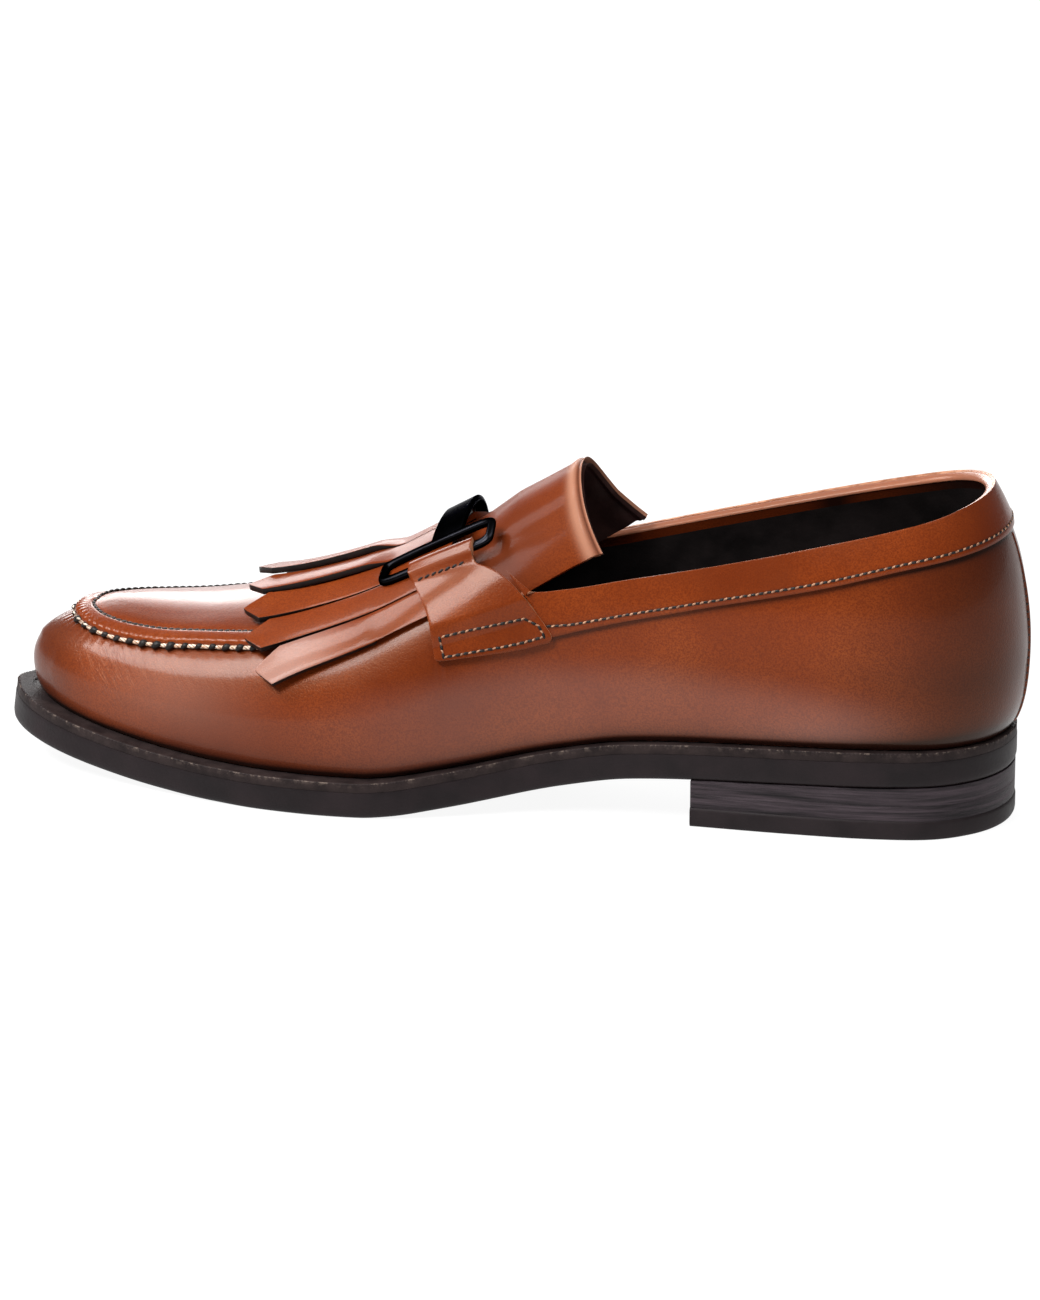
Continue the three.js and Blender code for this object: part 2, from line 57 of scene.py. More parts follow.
riseTable = {
    "along": [0, 0.1, 0.29, 0.36, 0.42, 0.48, 0.54, 0.58, 0.61, 0.71, 0.76, 0.82, 0.88, 0.94, 1],
    "rise": [1, 0.965, 0.87, 0.77, 0.58, 0.35, 0.15, 0.04, 0, 0, -0.032, -0.15, -0.352, -0.64, -1],
}
lastTable = {
    "along": [0, 0.04, 0.1, 0.2, 0.3, 0.4, 0.5, 0.6, 0.7, 0.8, 0.9, 0.97, 1],
    "feather": [1.6, 1.9, 2.5, 2.8, 2.9, 3.0, 3.9, 5.0, 5.4, 5.6, 6.0, 6.7, 7.0],
    "bulge": [-2.8, -2.4, -1.2, -0.2, 0.0, 0.2, 1.4, 2.8, 3.6, 4.2, 5.0, 6.1, 6.6],
    "lift": [24, 24, 23, 20, 18, 17, 15.5, 14, 13, 12, 11, 10, 10],
    "shoulder": [0.5, 0.5, 0.5, 0.52, 0.55, 0.58, 0.56, 0.52, 0.5, 0.5, 0.48, 0.48, 0.48],
    "crown": [0.55, 0.55, 0.55, 0.58, 0.62, 0.66, 0.64, 0.6, 0.58, 0.58, 0.6, 0.62, 0.62],
}
spineTable = {
    "at": [30, 60, 90, 112, 126, 142, 158, 171, 186, 205, 228, 245, 265, 285],
    "height": [115, 113.5, 110.5, 106.2, 101.1, 91.8, 82.4, 75, 66.6, 58.3, 50.9, 47.8, 46.4, 45.5],
    "lean": [0, 0, -1, -1.8, -2.4, -3, -3.6, -4.2, -4.8, -5.4, -6, -6.2, -6.2, -6],
}
topLine = [
    [-25, 100.5], [0, 98.2], [8, 96.6], [27, 91.3], [45, 86.8], [73, 80], [110, 71.6],
    [128, 67.6], [138, 66.2], [144, 66.4], [150, 69], [157, 73.4], [162, 77.4], [165, 82], [166, 118],
]
topLineTilt = 0.05


def curveThrough(xs, ys, monotone=False):
    xs, ys = np.array(xs, float), np.array(ys, float)
    step = np.diff(xs)
    secant = np.diff(ys) / step
    slope = np.zeros(len(xs))
    before, after = step[:-1], step[1:]
    if monotone:
        for i in range(1, len(xs) - 1):
            if secant[i - 1] * secant[i] > 0:
                wa, wb = 2 * step[i] + step[i - 1], step[i] + 2 * step[i - 1]
                slope[i] = (wa + wb) / (wa / secant[i - 1] + wb / secant[i])
    else:
        slope[1:-1] = (secant[:-1] * after + secant[1:] * before) / (before + after)
    slope[0] = 1.5 * secant[0] - 0.5 * slope[1]
    slope[-1] = 1.5 * secant[-1] - 0.5 * slope[-2]

    def read(x):
        x = np.asarray(x, float)
        i = np.clip(np.searchsorted(xs, x, side="right") - 1, 0, len(xs) - 2)
        h = step[i]
        p = (x - xs[i]) / h
        r = 1 - p
        inside = ys[i] * (1 + 2 * p) * r * r + ys[i + 1] * (3 - 2 * p) * p * p
        inside = inside + h * (slope[i] * p * r * r - slope[i + 1] * p * p * r)
        low = ys[0] + slope[0] * (x - xs[0])
        high = ys[-1] + slope[-1] * (x - xs[-1])
        return np.where(x < xs[0], low, np.where(x > xs[-1], high, inside))

    return read


def smooth(x, low, high):
    p = np.clip((np.asarray(x, float) - low) / (high - low), 0, 1)
    return p * p * (3 - 2 * p)


def bell(x, middle, width):
    return np.exp(-((x - middle) / width) ** 2)


def runAlong(points):
    # length walked along the last axis of [s, t, z] points
    step = np.sqrt((np.diff(points, axis=-1) ** 2).sum(0))
    return np.concatenate([np.zeros(step.shape[:-1] + (1,)), np.cumsum(step, axis=-1)], axis=-1)


def sameShape(*values):
    return np.broadcast_arrays(*(np.asarray(value, float) for value in values))


def stationOf(along):
    return np.arccos(1 - 2 * np.asarray(along, float)) / math.pi


def alongOf(station):
    return (1 - np.cos(math.pi * np.asarray(station, float))) / 2


def byStation(table, name):
    return curveThrough(stationOf(table["along"]), table[name])


outlineCentre, outlineHalf = byStation(outlineTable, "centre"), byStation(outlineTable, "half")
lastColumn = {name: byStation(lastTable, name) for name in ("feather", "bulge", "lift", "shoulder", "crown")}
spineHeight, spineLean = (curveThrough(spineTable["at"], spineTable[name]) for name in ("height", "lean"))
riseCurve = curveThrough(riseTable["along"], riseTable["rise"], True)


def rise(s):
    r = riseCurve(np.clip(np.asarray(s, float) / shoe["soleLength"], 0, 1))
    return np.where(r >= 0, r * shoe["heelRise"], -r * shoe["toeSpring"])


def overSole(st, height):
    slope = (rise(st[0] + 1) - rise(st[0] - 1)) / 2
    size = np.hypot(1, slope)
    return np.array([st[0] - slope * height / size, st[1] + 0 * slope, rise(st[0]) + height / size])


def stationAt(u):
    return np.where(u <= 1, u, 2 - u)


def loopPoint(u):
    # a point of the sole's outline, round the outer side from 0 to 1 and back by the inner one to 2
    w = np.mod(u, 2)
    station = stationAt(w)
    side = np.where(w <= 1, 1, -1)
    across = outlineCentre(station) + side * outlineHalf(station)
    return np.array([shoe["soleLength"] * alongOf(station), shoe["ballWidth"] * across])


def edge(u, inset):
    # the outline moved in
    here, a, b = loopPoint(u), loopPoint(u - 0.004), loopPoint(u + 0.004)
    ds, dt = b - a
    size = np.hypot(ds, dt)
    return np.array([here[0] + dt / size * inset, here[1] - ds / size * inset])


def spineAt(s):
    soft = shoe["spineSoftness"]
    low, high = shoe["heelFan"], shoe["soleLength"] - shoe["toeFan"]
    up = (s + low + np.hypot(s - low, soft)) / 2
    return (up + high - np.hypot(up - high, soft)) / 2


uppersFoot = shoe["outsole"] + shoe["midsole"] + 2 * shoe["gap"]
bulgeAt = 0.3
lastMiddle = 35.0  # a height inside the whole last


def surface(u, v, out):
    # the last: v is 0 at the feather edge, bulgeAt at its widest and 1 on the spine
    u, v, out = sameShape(u, v, out)
    station = stationAt(u)
    foot = overSole(edge(u, lastColumn["feather"](station) - out), uppersFoot)
    s, t = edge(u, lastColumn["bulge"](station) - out)
    lift = lastColumn["lift"](station)
    bulge = np.array([s, t, foot[2] + lift])
    handle = np.array([s, t, foot[2] + 0.22 * lift])
    p = np.clip(v / bulgeAt, 0, 1)
    r = 1 - p
    under = foot * r * r + 2 * handle * r * p + bulge * p * p
    at = spineAt(loopPoint(station)[0])
    slope = (spineHeight(at + 1) - spineHeight(at - 1)) / 2
    top = np.array([at, spineLean(at), spineHeight(at) + out])
    shoulder, crown = lastColumn["shoulder"](station), lastColumn["crown"](station)
    one = np.array([s, t, bulge[2] + shoulder * (top[2] - bulge[2])])
    reach = crown * (s - top[0])
    two = np.array([top[0] + reach, top[1] + crown * (t - top[1]), top[2] + slope * reach])
    p = np.clip((v - bulgeAt) / (1 - bulgeAt), 0, 1)
    r = 1 - p
    over = bulge * r ** 3 + 3 * one * r * r * p + 3 * two * r * p * p + top * p ** 3
    return np.where(v < bulgeAt, under, over)


lastStations, lastHeights = np.linspace(0.02, 0.98, 385), np.linspace(1, 0, 121)
lastSpine = spineAt(loopPoint(lastStations)[0])
lastArcs = {side: runAlong(surface(1 + side * (lastStations[:, None] - 1), lastHeights, 0.0)) for side in (1, -1)}


def onLast(s, a, out):
    # the point a given distance over the leather from the spine at s
    s, a, out = sameShape(s, a, out)
    shape = s.shape
    index = np.interp(s.ravel(), lastSpine, np.arange(len(lastSpine)))
    u, v = np.empty(index.size), np.empty(index.size)
    for k, (i, arc) in enumerate(zip(index, a.ravel())):
        side = 1 if arc >= 0 else -1
        i0 = min(int(i), len(lastSpine) - 2)
        f = i - i0
        v0, v1 = (np.interp(abs(arc), lastArcs[side][n], lastHeights) for n in (i0, i0 + 1))
        station = lastStations[i0] * (1 - f) + lastStations[i0 + 1] * f
        u[k] = station if side > 0 else 2 - station
        v[k] = v0 * (1 - f) + v1 * f
    return surface(u, v, out.ravel()).reshape((3,) + shape)


def place(points):
    # [s, t, z] in millimetres to the part's own frame in metres
    x = (shoe["soleLength"] / 2 - points[0] + shoe["shiftX"]) / 1000
    y = (-points[1] + shoe["shiftY"]) / 1000
    return np.stack([x, y, points[2] / 1000], axis=-1)


topCurve = curveThrough([q[0] for q in topLine], [q[1] for q in topLine], True)
bandLowCurve = curveThrough([-25, 2, 26, 54, 92, 130.6, 150], [88, 84.8, 80.6, 73.3, 64.6, 54.4, 48.0])
vSamples = np.linspace(0.02, 1, 260)


def topHeight(s):
    return topCurve(np.clip(s, topLine[0][0], topLine[-1][0]))


def overLine(s, t, z, line):
    # how far a point lies over a line of the side view, which drops to the inner side
    return z - topLineTilt * (28 - t) - line(s)


def crossing(u, line):
    # how far up each column of the last meets a line of the side view
    above = overLine(*surface(u[:, None], vSamples, 0.0), line)
    found = np.ones(len(u))
    for k in range(len(u)):
        hits = np.nonzero(above[k] > 0)[0]
        if len(hits) and hits[0] > 0:
            j = hits[0]
            f = above[k, j - 1] / (above[k, j - 1] - above[k, j])
            found[k] = vSamples[j - 1] + f * (vSamples[j] - vSamples[j - 1])
    return found


def upFrom(u, start, distances):
    # v at set distances over the leather from v = start, one row per column
    run = runAlong(surface(u[:, None], vSamples, 0.0))
    result = np.empty((len(u), len(distances)))
    for k in range(len(u)):
        base = np.interp(start[k], vSamples, run[k])
        result[k] = np.interp(base + np.asarray(distances), run[k], vSamples)
    return result


def squareOut(u, v):
    # the unit outward direction of the last at (u, v)
    e = 0.002
    du = surface(u + e, v, 0.0) - surface(u - e, v, 0.0)
    dv = surface(u, np.clip(v + e, 0, 1), 0.0) - surface(u, np.clip(v - e, 0, 1), 0.0)
    n = np.cross(du, dv, axis=0)
    n /= np.maximum(np.linalg.norm(n, axis=0), 1e-9)
    here = surface(u, v, 0.0)
    outward = here[1] * n[1] + (here[2] - lastMiddle) * n[2]
    return n * np.where(outward < 0, -1, 1)


def activate(piece):
    bpy.ops.object.select_all(action="DESELECT")
    piece.select_set(True)
    bpy.context.view_layer.objects.active = piece


def weld(piece, distance=0.02):
    activate(piece)
    bpy.ops.object.mode_set(mode="EDIT")
    bpy.ops.mesh.select_all(action="SELECT")
    bpy.ops.mesh.remove_doubles(threshold=distance / 1000)
    bpy.ops.mesh.normals_make_consistent(inside=False)
    bpy.ops.object.mode_set(mode="OBJECT")


def cutAway(piece, faces):
    # faces: a true or false for each face
    mesh = piece.data
    mesh.vertices.foreach_set("select", np.zeros(len(mesh.vertices), bool))
    mesh.edges.foreach_set("select", np.zeros(len(mesh.edges), bool))
    mesh.polygons.foreach_set("select", np.asarray(faces, bool))
    activate(piece)
    bpy.ops.object.mode_set(mode="EDIT")
    bpy.ops.mesh.select_mode(type="FACE")
    bpy.ops.mesh.delete(type="FACE")
    bpy.ops.object.mode_set(mode="OBJECT")


def bentGrid(name, columns, rows, shape):
    # a grid bent to shape(i, j), which gives [s, t, z] by column and row number
    bpy.ops.object.select_all(action="DESELECT")
    bpy.ops.mesh.primitive_grid_add(x_subdivisions=columns, y_subdivisions=rows, size=1, location=(0, 0, 0))
    piece = bpy.context.active_object
    piece.name = piece.data.name = name
    co = np.empty(len(piece.data.vertices) * 3, np.float32)
    piece.data.vertices.foreach_get("co", co)
    co = co.reshape(-1, 3)
    i = np.rint((co[:, 0] + 0.5) * columns).astype(int)
    j = np.rint((co[:, 1] + 0.5) * rows).astype(int)
    piece.data.vertices.foreach_set("co", place(shape(i, j)).astype(np.float32).ravel())
    piece.data.update()
    return piece, i, j


def faceCells(piece, i, j):
    # the lowest column and row number of each face
    corners = np.array([list(face.vertices)[:4] for face in piece.data.polygons])
    return i[corners].min(1), j[corners].min(1)


def turnOut(piece, outward=(0, 0, 1)):
    # an open sheet: its faces look outward
    mesh = piece.data
    normal, area = np.empty(len(mesh.polygons) * 3), np.empty(len(mesh.polygons))
    mesh.polygons.foreach_get("normal", normal)
    mesh.polygons.foreach_get("area", area)
    if (normal.reshape(-1, 3) @ np.array(outward, float) * area).sum() < 0:
        mesh.flip_normals()


def paint(piece, values, name="tone"):
    # one value for the whole piece or one for each point
    layer = piece.data.attributes.new(name, "FLOAT", "POINT")
    layer.data.foreach_set("value", np.full(len(piece.data.vertices), values, np.float32))


def joinAll(pieces, name):
    bpy.ops.object.select_all(action="DESELECT")
    for piece in pieces:
        piece.select_set(True)
    bpy.context.view_layer.objects.active = pieces[0]
    bpy.ops.object.join()
    joined = bpy.context.active_object
    joined.name = joined.data.name = name
    return joined


def modify(piece, kind, **settings):
    activate(piece)
    modifier = piece.modifiers.new(kind.title(), kind)
    for key, value in settings.items():
        setattr(modifier, key, value)
    bpy.ops.object.modifier_apply(modifier=modifier.name)


def thicken(piece, thickness, bevel=0.0, segments=2, materials=(), inside=0, rim=0, angle=50, even=True):
    for material in materials:
        piece.data.materials.append(material)
    modify(piece, "SOLIDIFY", thickness=thickness / 1000, offset=-1, use_even_offset=even,
           material_offset=inside, material_offset_rim=rim)
    if bevel:
        modify(piece, "BEVEL", width=bevel / 1000, segments=segments, limit_method="ANGLE",
               angle_limit=math.radians(angle), use_clamp_overlap=True)


def dress(piece, materials, nodes=(), angle=40):
    kept = [face.material_index for face in piece.data.polygons] if len(materials) > 1 else None
    piece.data.materials.clear()
    for material in materials:
        piece.data.materials.append(material)
    if kept:
        piece.data.polygons.foreach_set("material_index", kept)
    activate(piece)
    bpy.ops.object.shade_smooth_by_angle(angle=math.radians(angle))
    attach(piece, "root")
    if nodes:
        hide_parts(*nodes)
    return piece


def rod(name, path, away, radius, sides=10, loop=False, flat=1.0, square=2.0):
    # a rod along path, made of a grid rolled up; its ends taper shut
    pts, n = path, len(path[0])
    if loop:
        ahead = np.roll(pts, -1, 1) - np.roll(pts, 1, 1)
    else:
        ahead = np.gradient(pts, axis=1)
    ahead /= np.linalg.norm(ahead, axis=0)
    across = np.cross(ahead, away, axis=0)
    across /= np.linalg.norm(across, axis=0)
    up = np.cross(across, ahead, axis=0)
    if loop:
        row = np.append(np.arange(n), 0)
    else:
        row = np.clip(np.arange(n + 2) - 1, 0, n - 1)
    size = np.full(n, radius, float)[row]
    if not loop:
        size[0] = size[-1] = 0

    def shape(i, j):
        turn = 2 * math.pi * (i % sides) / sides
        c, z = np.cos(turn), np.sin(turn)
        c = np.sign(c) * np.abs(c) ** (2 / square)
        z = np.sign(z) * np.abs(z) ** (2 / square) * flat
        k = row[j]
        return pts[:, k] + size[j] * (c * across[:, k] + z * up[:, k])

    piece, i, j = bentGrid(name, sides, len(row) - 1, shape)
    weld(piece, 0.005)
    return piece


stitchShape = {"flat": 0.8, "fat": 1.08, "bow": 0.55}


def stitchRow(name, path, away, pitch, length, radius, material, twist=0.0, start=0.0, sink=0.35, jitter=0.0, sway=0.5):
    # one stitch is modelled and copied along the row
    run = runAlong(path)
    spots = np.arange(start + pitch / 2, run[-1], pitch)
    bpy.ops.object.select_all(action="DESELECT")
    bpy.ops.mesh.primitive_uv_sphere_add(segments=8, ring_count=6, radius=1, location=(0, 0, 0))
    one = bpy.context.active_object
    for vertex in one.data.vertices:  # the poles lie along the thread
        x, y, along = vertex.co
        fat = 1.0 if abs(along) > 0.9 else stitchShape["fat"]
        bow = stitchShape["bow"] * (1 - along * along)
        vertex.co = (along * length / 2, x * fat * radius, (y * fat * stitchShape["flat"] + bow - sink) * radius)
    chain = random.Random(len(name))
    copies = []

    def readAt(spot, rows):
        return np.array([np.interp(spot, run, rows[k]) for k in range(3)])

    for spot in spots:
        ahead = readAt(min(spot + 0.5, run[-1]), path) - readAt(max(spot - 0.5, 0), path)
        out = readAt(spot, away)
        centre = Vector(place(readAt(spot, path)[:, None])[0])
        x, z = Vector(ahead * (-1, -1, 1)).normalized(), Vector(out * (-1, -1, 1))
        z = (z - x * z.dot(x)).normalized()
        turn = twist + chain.uniform(-jitter, jitter)
        xx = x * math.cos(turn) + z.cross(x) * math.sin(turn)
        yy = z.cross(xx)
        grow = 1 + chain.uniform(-jitter, jitter) * sway
        copy = one.copy()
        copy.data = one.data.copy()
        turned = Matrix((xx, yy, z)).transposed().to_4x4()
        copy.data.transform(Matrix.Translation(centre) @ turned @ Matrix.Scale(0.001 * grow, 4))
        bpy.context.scene.collection.objects.link(copy)
        copies.append(copy)
    bpy.data.objects.remove(one)
    return dress(joinAll(copies, name), [material], angle=70)


def shade(value):
    # a socket's colour: one grey from 0 to 1, or red, green and blue up to 255
    if isinstance(value, tuple):
        return tuple(((c / 255 + 0.055) / 1.055) ** 2.4 if c > 10 else c / 255 / 12.92 for c in value) + (1,)
    return (value, value, value, 1)


def feed(node, name, value):
    # a socket takes a plain value or the output of another node
    if isinstance(value, bpy.types.NodeSocket):
        node.id_data.links.new(value, node.inputs[name])
    else:
        node.inputs[name].default_value = value


def addNode(tree, kind, output, inputs, **settings):
    node = tree.nodes.new("ShaderNode" + kind)
    for key, value in settings.items():
        setattr(node, key, value)
    for name, value in inputs.items():
        feed(node, name, value)
    return node.outputs[output]


def newMaterial(name, roughness=0.5, metallic=0.0, coat=0.0, coatRoughness=0.2, specular=0.5):
    material = bpy.data.materials.new(name)
    material.use_nodes = True
    tree = material.node_tree
    shader = tree.nodes["Principled BSDF"]
    values = {"Roughness": roughness, "Metallic": metallic, "Coat Weight": coat,
              "Coat Roughness": coatRoughness, "Specular IOR Level": specular}
    for socket, value in values.items():
        feed(shader, socket, value)
    return material, tree, shader, addNode(tree, "TexCoord", "Object", {})


def noise(where, scale, detail=3.0, roughness=0.55):
    inputs = {"Vector": where, "Scale": scale, "Detail": detail, "Roughness": roughness}
    return addNode(where.id_data, "TexNoise", "Fac", inputs)


def ramp(value, *stops):
    node = value.id_data.nodes.new("ShaderNodeValToRGB")
    bar = node.color_ramp
    while len(bar.elements) < len(stops):
        bar.elements.new(0.5)
    for element, (at, colour) in zip(bar.elements, stops):
        element.position = at
        element.color = shade(colour)
    feed(node, "Fac", value)
    return node.outputs["Color"]


def blend(factor, a, b):
    a, b = (x if isinstance(x, bpy.types.NodeSocket) else shade(x) for x in (a, b))
    return addNode(factor.id_data, "Mix", "Result", {"Factor": factor, "A": a, "B": b}, data_type="RGBA")


def attribute(tree, name):
    return addNode(tree, "Attribute", "Fac", {}, attribute_name=name)


def bump(height, distance, strength=1.0):
    # each relief goes over the one before it
    tree = height.id_data
    shader = tree.nodes["Principled BSDF"]
    inputs = {"Height": height, "Distance": distance, "Strength": strength}
    for link in shader.inputs["Normal"].links:
        inputs["Normal"] = link.from_socket
    feed(shader, "Normal", addNode(tree, "Bump", "Normal", inputs))


# the pale pink colour is a painted highlight, the milky one a painted reflection of the pale floor, and the dark one
# burnish and painted shade
leatherLook = {"deep": (98, 36, 10), "mid": (124, 51, 15), "light": (142, 66, 24), "paintedHighlight": (214, 160, 132),
               "paintedReflection": (206, 196, 196), "burnishAndShade": (34, 14, 9), "grain": 1000}


def leatherMaterial(name):
    material, tree, shader, where = newMaterial(name, 0.32, coat=0.2, coatRoughness=0.14, specular=0.2)
    feed(shader, "Specular Tint", (1, 0.6, 0.36, 1))
    deep = leatherLook["deep"]
    speckle = noise(where, 1900, 2, 0.7)
    colour = ramp(noise(where, 16), (0.3, deep), (0.5, leatherLook["mid"]), (0.72, leatherLook["light"]))
    colour = blend(ramp(speckle, (0.4, 0.75), (0.58, 0)), colour, deep)
    colour = blend(ramp(noise(where, 240), (0.35, 0.16), (0.55, 0)), colour, deep)
    # painted highlight, painted reflection, then burnish with painted shade, each laid over the colour by its own
    # attribute
    for layer, tint in (("paintedHighlight", "paintedHighlight"), ("paintedReflection", "paintedReflection"), ("tone", "burnishAndShade")):
        colour = blend(attribute(tree, layer), colour, leatherLook[tint])
    feed(shader, "Base Color", colour)
    grain = {"Vector": where, "Scale": leatherLook["grain"]}
    pores = addNode(tree, "TexVoronoi", "Distance", grain, feature="DISTANCE_TO_EDGE")
    bump(ramp(pores, (0, 0), (0.16, 1)), 0.00004, 0.4)
    bump(speckle, 0.00004, 0.5)
    bump(noise(where, 160), 0.0002, 0.4)
    # fine creases run down the toe
    turned = addNode(tree, "Mapping", "Vector", {"Vector": where, "Rotation": (0, math.radians(40), 0)})
    drawn = addNode(tree, "Mapping", "Vector", {"Vector": turned, "Scale": (1, 0.2, 0.12)})
    creases = ramp(noise(drawn, 640, 3, 0.6), (0.38, 0), (0.52, 1))
    bump(blend(attribute(tree, "crease"), 1, creases), 0.00022, 0.8)
    matte = attribute(tree, "matte")
    worn = ramp(noise(where, 70), (0.3, 0.27), (0.7, 0.37))
    feed(shader, "Roughness", blend(matte, worn, 0.6))
    feed(shader, "Coat Weight", blend(matte, 0.2, 0.02))
    feed(shader, "Specular IOR Level", blend(matte, 0.2, 0.1))
    return material


def plainMaterial(name, dark, light, scale, roughness, grainScale, grainDepth,
                  metallic=0.0, specular=0.5, strength=0.7, stretch=None):
    material, tree, shader, where = newMaterial(name, roughness, metallic, specular=specular)
    if stretch:
        where = addNode(tree, "Mapping", "Vector", {"Vector": where, "Scale": stretch})
    value = noise(where, scale, 4)
    feed(shader, "Base Color", ramp(value, (0.35, dark), (0.65, light)))
    feed(shader, "Roughness", ramp(value, (0.3, roughness * 0.85), (0.7, roughness * 1.15)))
    bump(noise(where, grainScale), grainDepth, strength)
    return material


def seamMaterial(name):
    material, tree, shader, where = newMaterial(name, 0.45, coat=0.3)
    streak = noise(where, 700)
    # pale cream: partly the edge's own light colour, partly a painted highlight between the stitches
    pale = ramp(streak, (0.35, (190, 146, 112)), (0.6, (232, 212, 190)))
    twisted = {"Vector": where, "Scale": 520, "Distortion": 1.5}
    plies = addNode(tree, "TexWave", "Fac", twisted, bands_direction="DIAGONAL")
    pale = blend(ramp(plies, (0.12, 0.8), (0.5, 0)), pale, (112, 62, 36))
    feed(shader, "Base Color", blend(attribute(tree, "tone"), pale, (46, 26, 18)))
    bump(streak, 0.0001, 0.6)
    return material


def stripMaterial(name):
    # dark strip with a broken pale glint along its top edge
    material, tree, shader, where = newMaterial(name, 0.6, specular=0.15)
    body = ramp(noise(where, 160, 4), (0.35, (28, 20, 20)), (0.65, (46, 36, 35)))
    broken = ramp(noise(where, 420, 3, 0.7), (0.52, 0), (0.66, 0.8))
    both = {"Factor": 1.0, "A": attribute(tree, "tone"), "B": broken}
    share = addNode(tree, "Mix", "Result", both, data_type="RGBA", blend_type="MULTIPLY")
    feed(shader, "Base Color", blend(share, body, (128, 112, 102)))
    bump(noise(where, 1100), 0.00016, 0.8)
    return material


def treadMaterial(name, pitch):
    # shallow bars across the tread, their grooves darkened with painted shade
    material, tree, shader, where = newMaterial(name, 0.6, specular=0.2)
    wave = {"Vector": where, "Scale": 0.314 / pitch, "Distortion": 0.3}
    cut = ramp(addNode(tree, "TexWave", "Fac", wave, bands_direction="X"), (0.1, 0), (0.24, 1))
    feed(shader, "Base Color", blend(cut, (12, 8, 9), (33, 25, 27)))
    bump(cut, 0.0005)
    bump(noise(where, 900), 0.0001, 0.7)
    return material


leather = leatherMaterial("cognac leather")
seamEdge = seamMaterial("raised seam edge")
# near black: the dyed cut edge, darkened further as painted shade under the lifted strips
cutEdge = plainMaterial("dyed edge and painted shade", (11, 7, 6), (25, 15, 12), 300, 0.45, 900, 0.0001, specular=0.25)
# pale line round the strap and band edges: partly burnished edge, partly a painted highlight on the rounded edge
paleEdge = plainMaterial("burnished edge and painted highlight", (140, 84, 54), (190, 134, 102), 300, 0.4, 900, 0.00008)
lining = plainMaterial("dark lining", (15, 11, 11), (28, 21, 21), 90, 0.5, 700, 0.0001, specular=0.35)
tongueLining = plainMaterial("brown lining", (44, 25, 24), (66, 40, 37), 90, 0.45, 700, 0.0001)
sockLeather = plainMaterial("dark sock", (20, 17, 16), (36, 30, 29), 60, 0.6, 600, 0.0001, specular=0.35)
soleRubber = plainMaterial("dark sole", (20, 13, 15), (33, 24, 26), 60, 0.5, 900, 0.00012, specular=0.2)
midsoleLeather = stripMaterial("midsole strip")
stackRubber = plainMaterial("heel stack", (22, 17, 20), (66, 56, 61), 45, 0.5, 400, 0.0002,
                           specular=0.2, stretch=(1, 1, 22))
topRubber = plainMaterial("heel top piece", (22, 15, 17), (34, 26, 28), 80, 0.55, 600, 0.0001, specular=0.2)
darkThread = plainMaterial("dark thread", (12, 8, 7), (28, 18, 14), 800, 0.5, 3000, 0.00008, specular=0.3)
tanThread = plainMaterial("tan thread", (112, 70, 46), (184, 138, 106), 900, 0.5, 3000, 0.00008)
paleThread = plainMaterial("pale thread", (186, 168, 148), (236, 228, 214), 900, 0.5, 3000, 0.00008)
soleTread = treadMaterial("sole tread", 0.0042)
topTread = treadMaterial("heel tread", 0.003)
gunmetal = plainMaterial("dark metal", (14, 14, 16), (30, 30, 34), 70, 0.26, 400, 0.00002, metallic=1.0, strength=0.3)
feed(gunmetal.node_tree.nodes["Principled BSDF"], "Specular Tint", (0.25, 0.25, 0.27, 1))
print("materials made")

sole = {"columns": 420, "capRows": 10, "ends": 6}


def centreLine(s):
    return shoe["ballWidth"] * outlineCentre(stationOf(np.clip(s / shoe["soleLength"], 0, 1)))


def soleMiddle(s, height):
    return np.array([s, centreLine(s), overSole(np.array([s, s * 0]), height)[2]])


def ringPiece(name, rows, columns, ring, midline):
    # a closed body of rings, with caps that fold in to the midline
    folds = np.linspace(0, 1, sole["capRows"] + 1)
    stack = [(rows[0], q) for q in folds[:0:-1]] + [(row, 0.0) for row in rows] + [(rows[-1], q) for q in folds[1:]]
    rings = []
    for row, q in stack:
        pts = ring(*row)
        rings.append(pts * (1 - q) + midline(pts[0], row[1]) * q)
    rings = np.array(rings)  # row, axis, column
    return bentGrid(name, columns, len(stack) - 1, lambda i, j: rings[j, :, i % columns].T)


def treadFaces(piece, material):
    # faces that look straight down carry the tread
    piece.data.materials.append(material)
    for face in piece.data.polygons:
        if face.normal.z < -0.97:
            face.material_index = 1


def solePiece(name, rows, material, node, columns=sole["columns"], wheeling=None):
    u = np.arange(columns) * 2 / columns

    def ring(inset, height):
        return overSole(edge(u, inset - wheeling(u, height) if wheeling else inset), height)

    def midline(s, height):
        return soleMiddle(np.clip(s, sole["ends"], shoe["soleLength"] - sole["ends"]), height)

    piece, i, j = ringPiece(name, rows, columns, ring, midline)
    # the top edge row, where the midsole strip's material lays its painted glint
    paint(piece, bell(j, j.max() - sole["capRows"] - 6, 0.9))
    weld(piece)
    return dress(piece, [material], [node], angle=35)


# rows of the sole's parts are [inset, height]
outsoleRows = [(1.4, 0), (0.7, 0.35), (0.3, 0.9), (0.05, 1.8), (0, 2.8), (0, 4.6), (0, 6.2), (0, 7.4), (0.08, 7.86)]
treadFaces(solePiece("outsoleBody", outsoleRows, soleRubber, "outsole"), soleTread)

welt = {"columns": 2200, "pitch": 1.25, "depth": 0.14, "from": 2.5}
loopU = np.linspace(0, 2, 4001)
loopLengths = runAlong(loopPoint(loopU))


def loopRun(u):
    return np.interp(np.mod(u, 2), loopU, loopLengths)


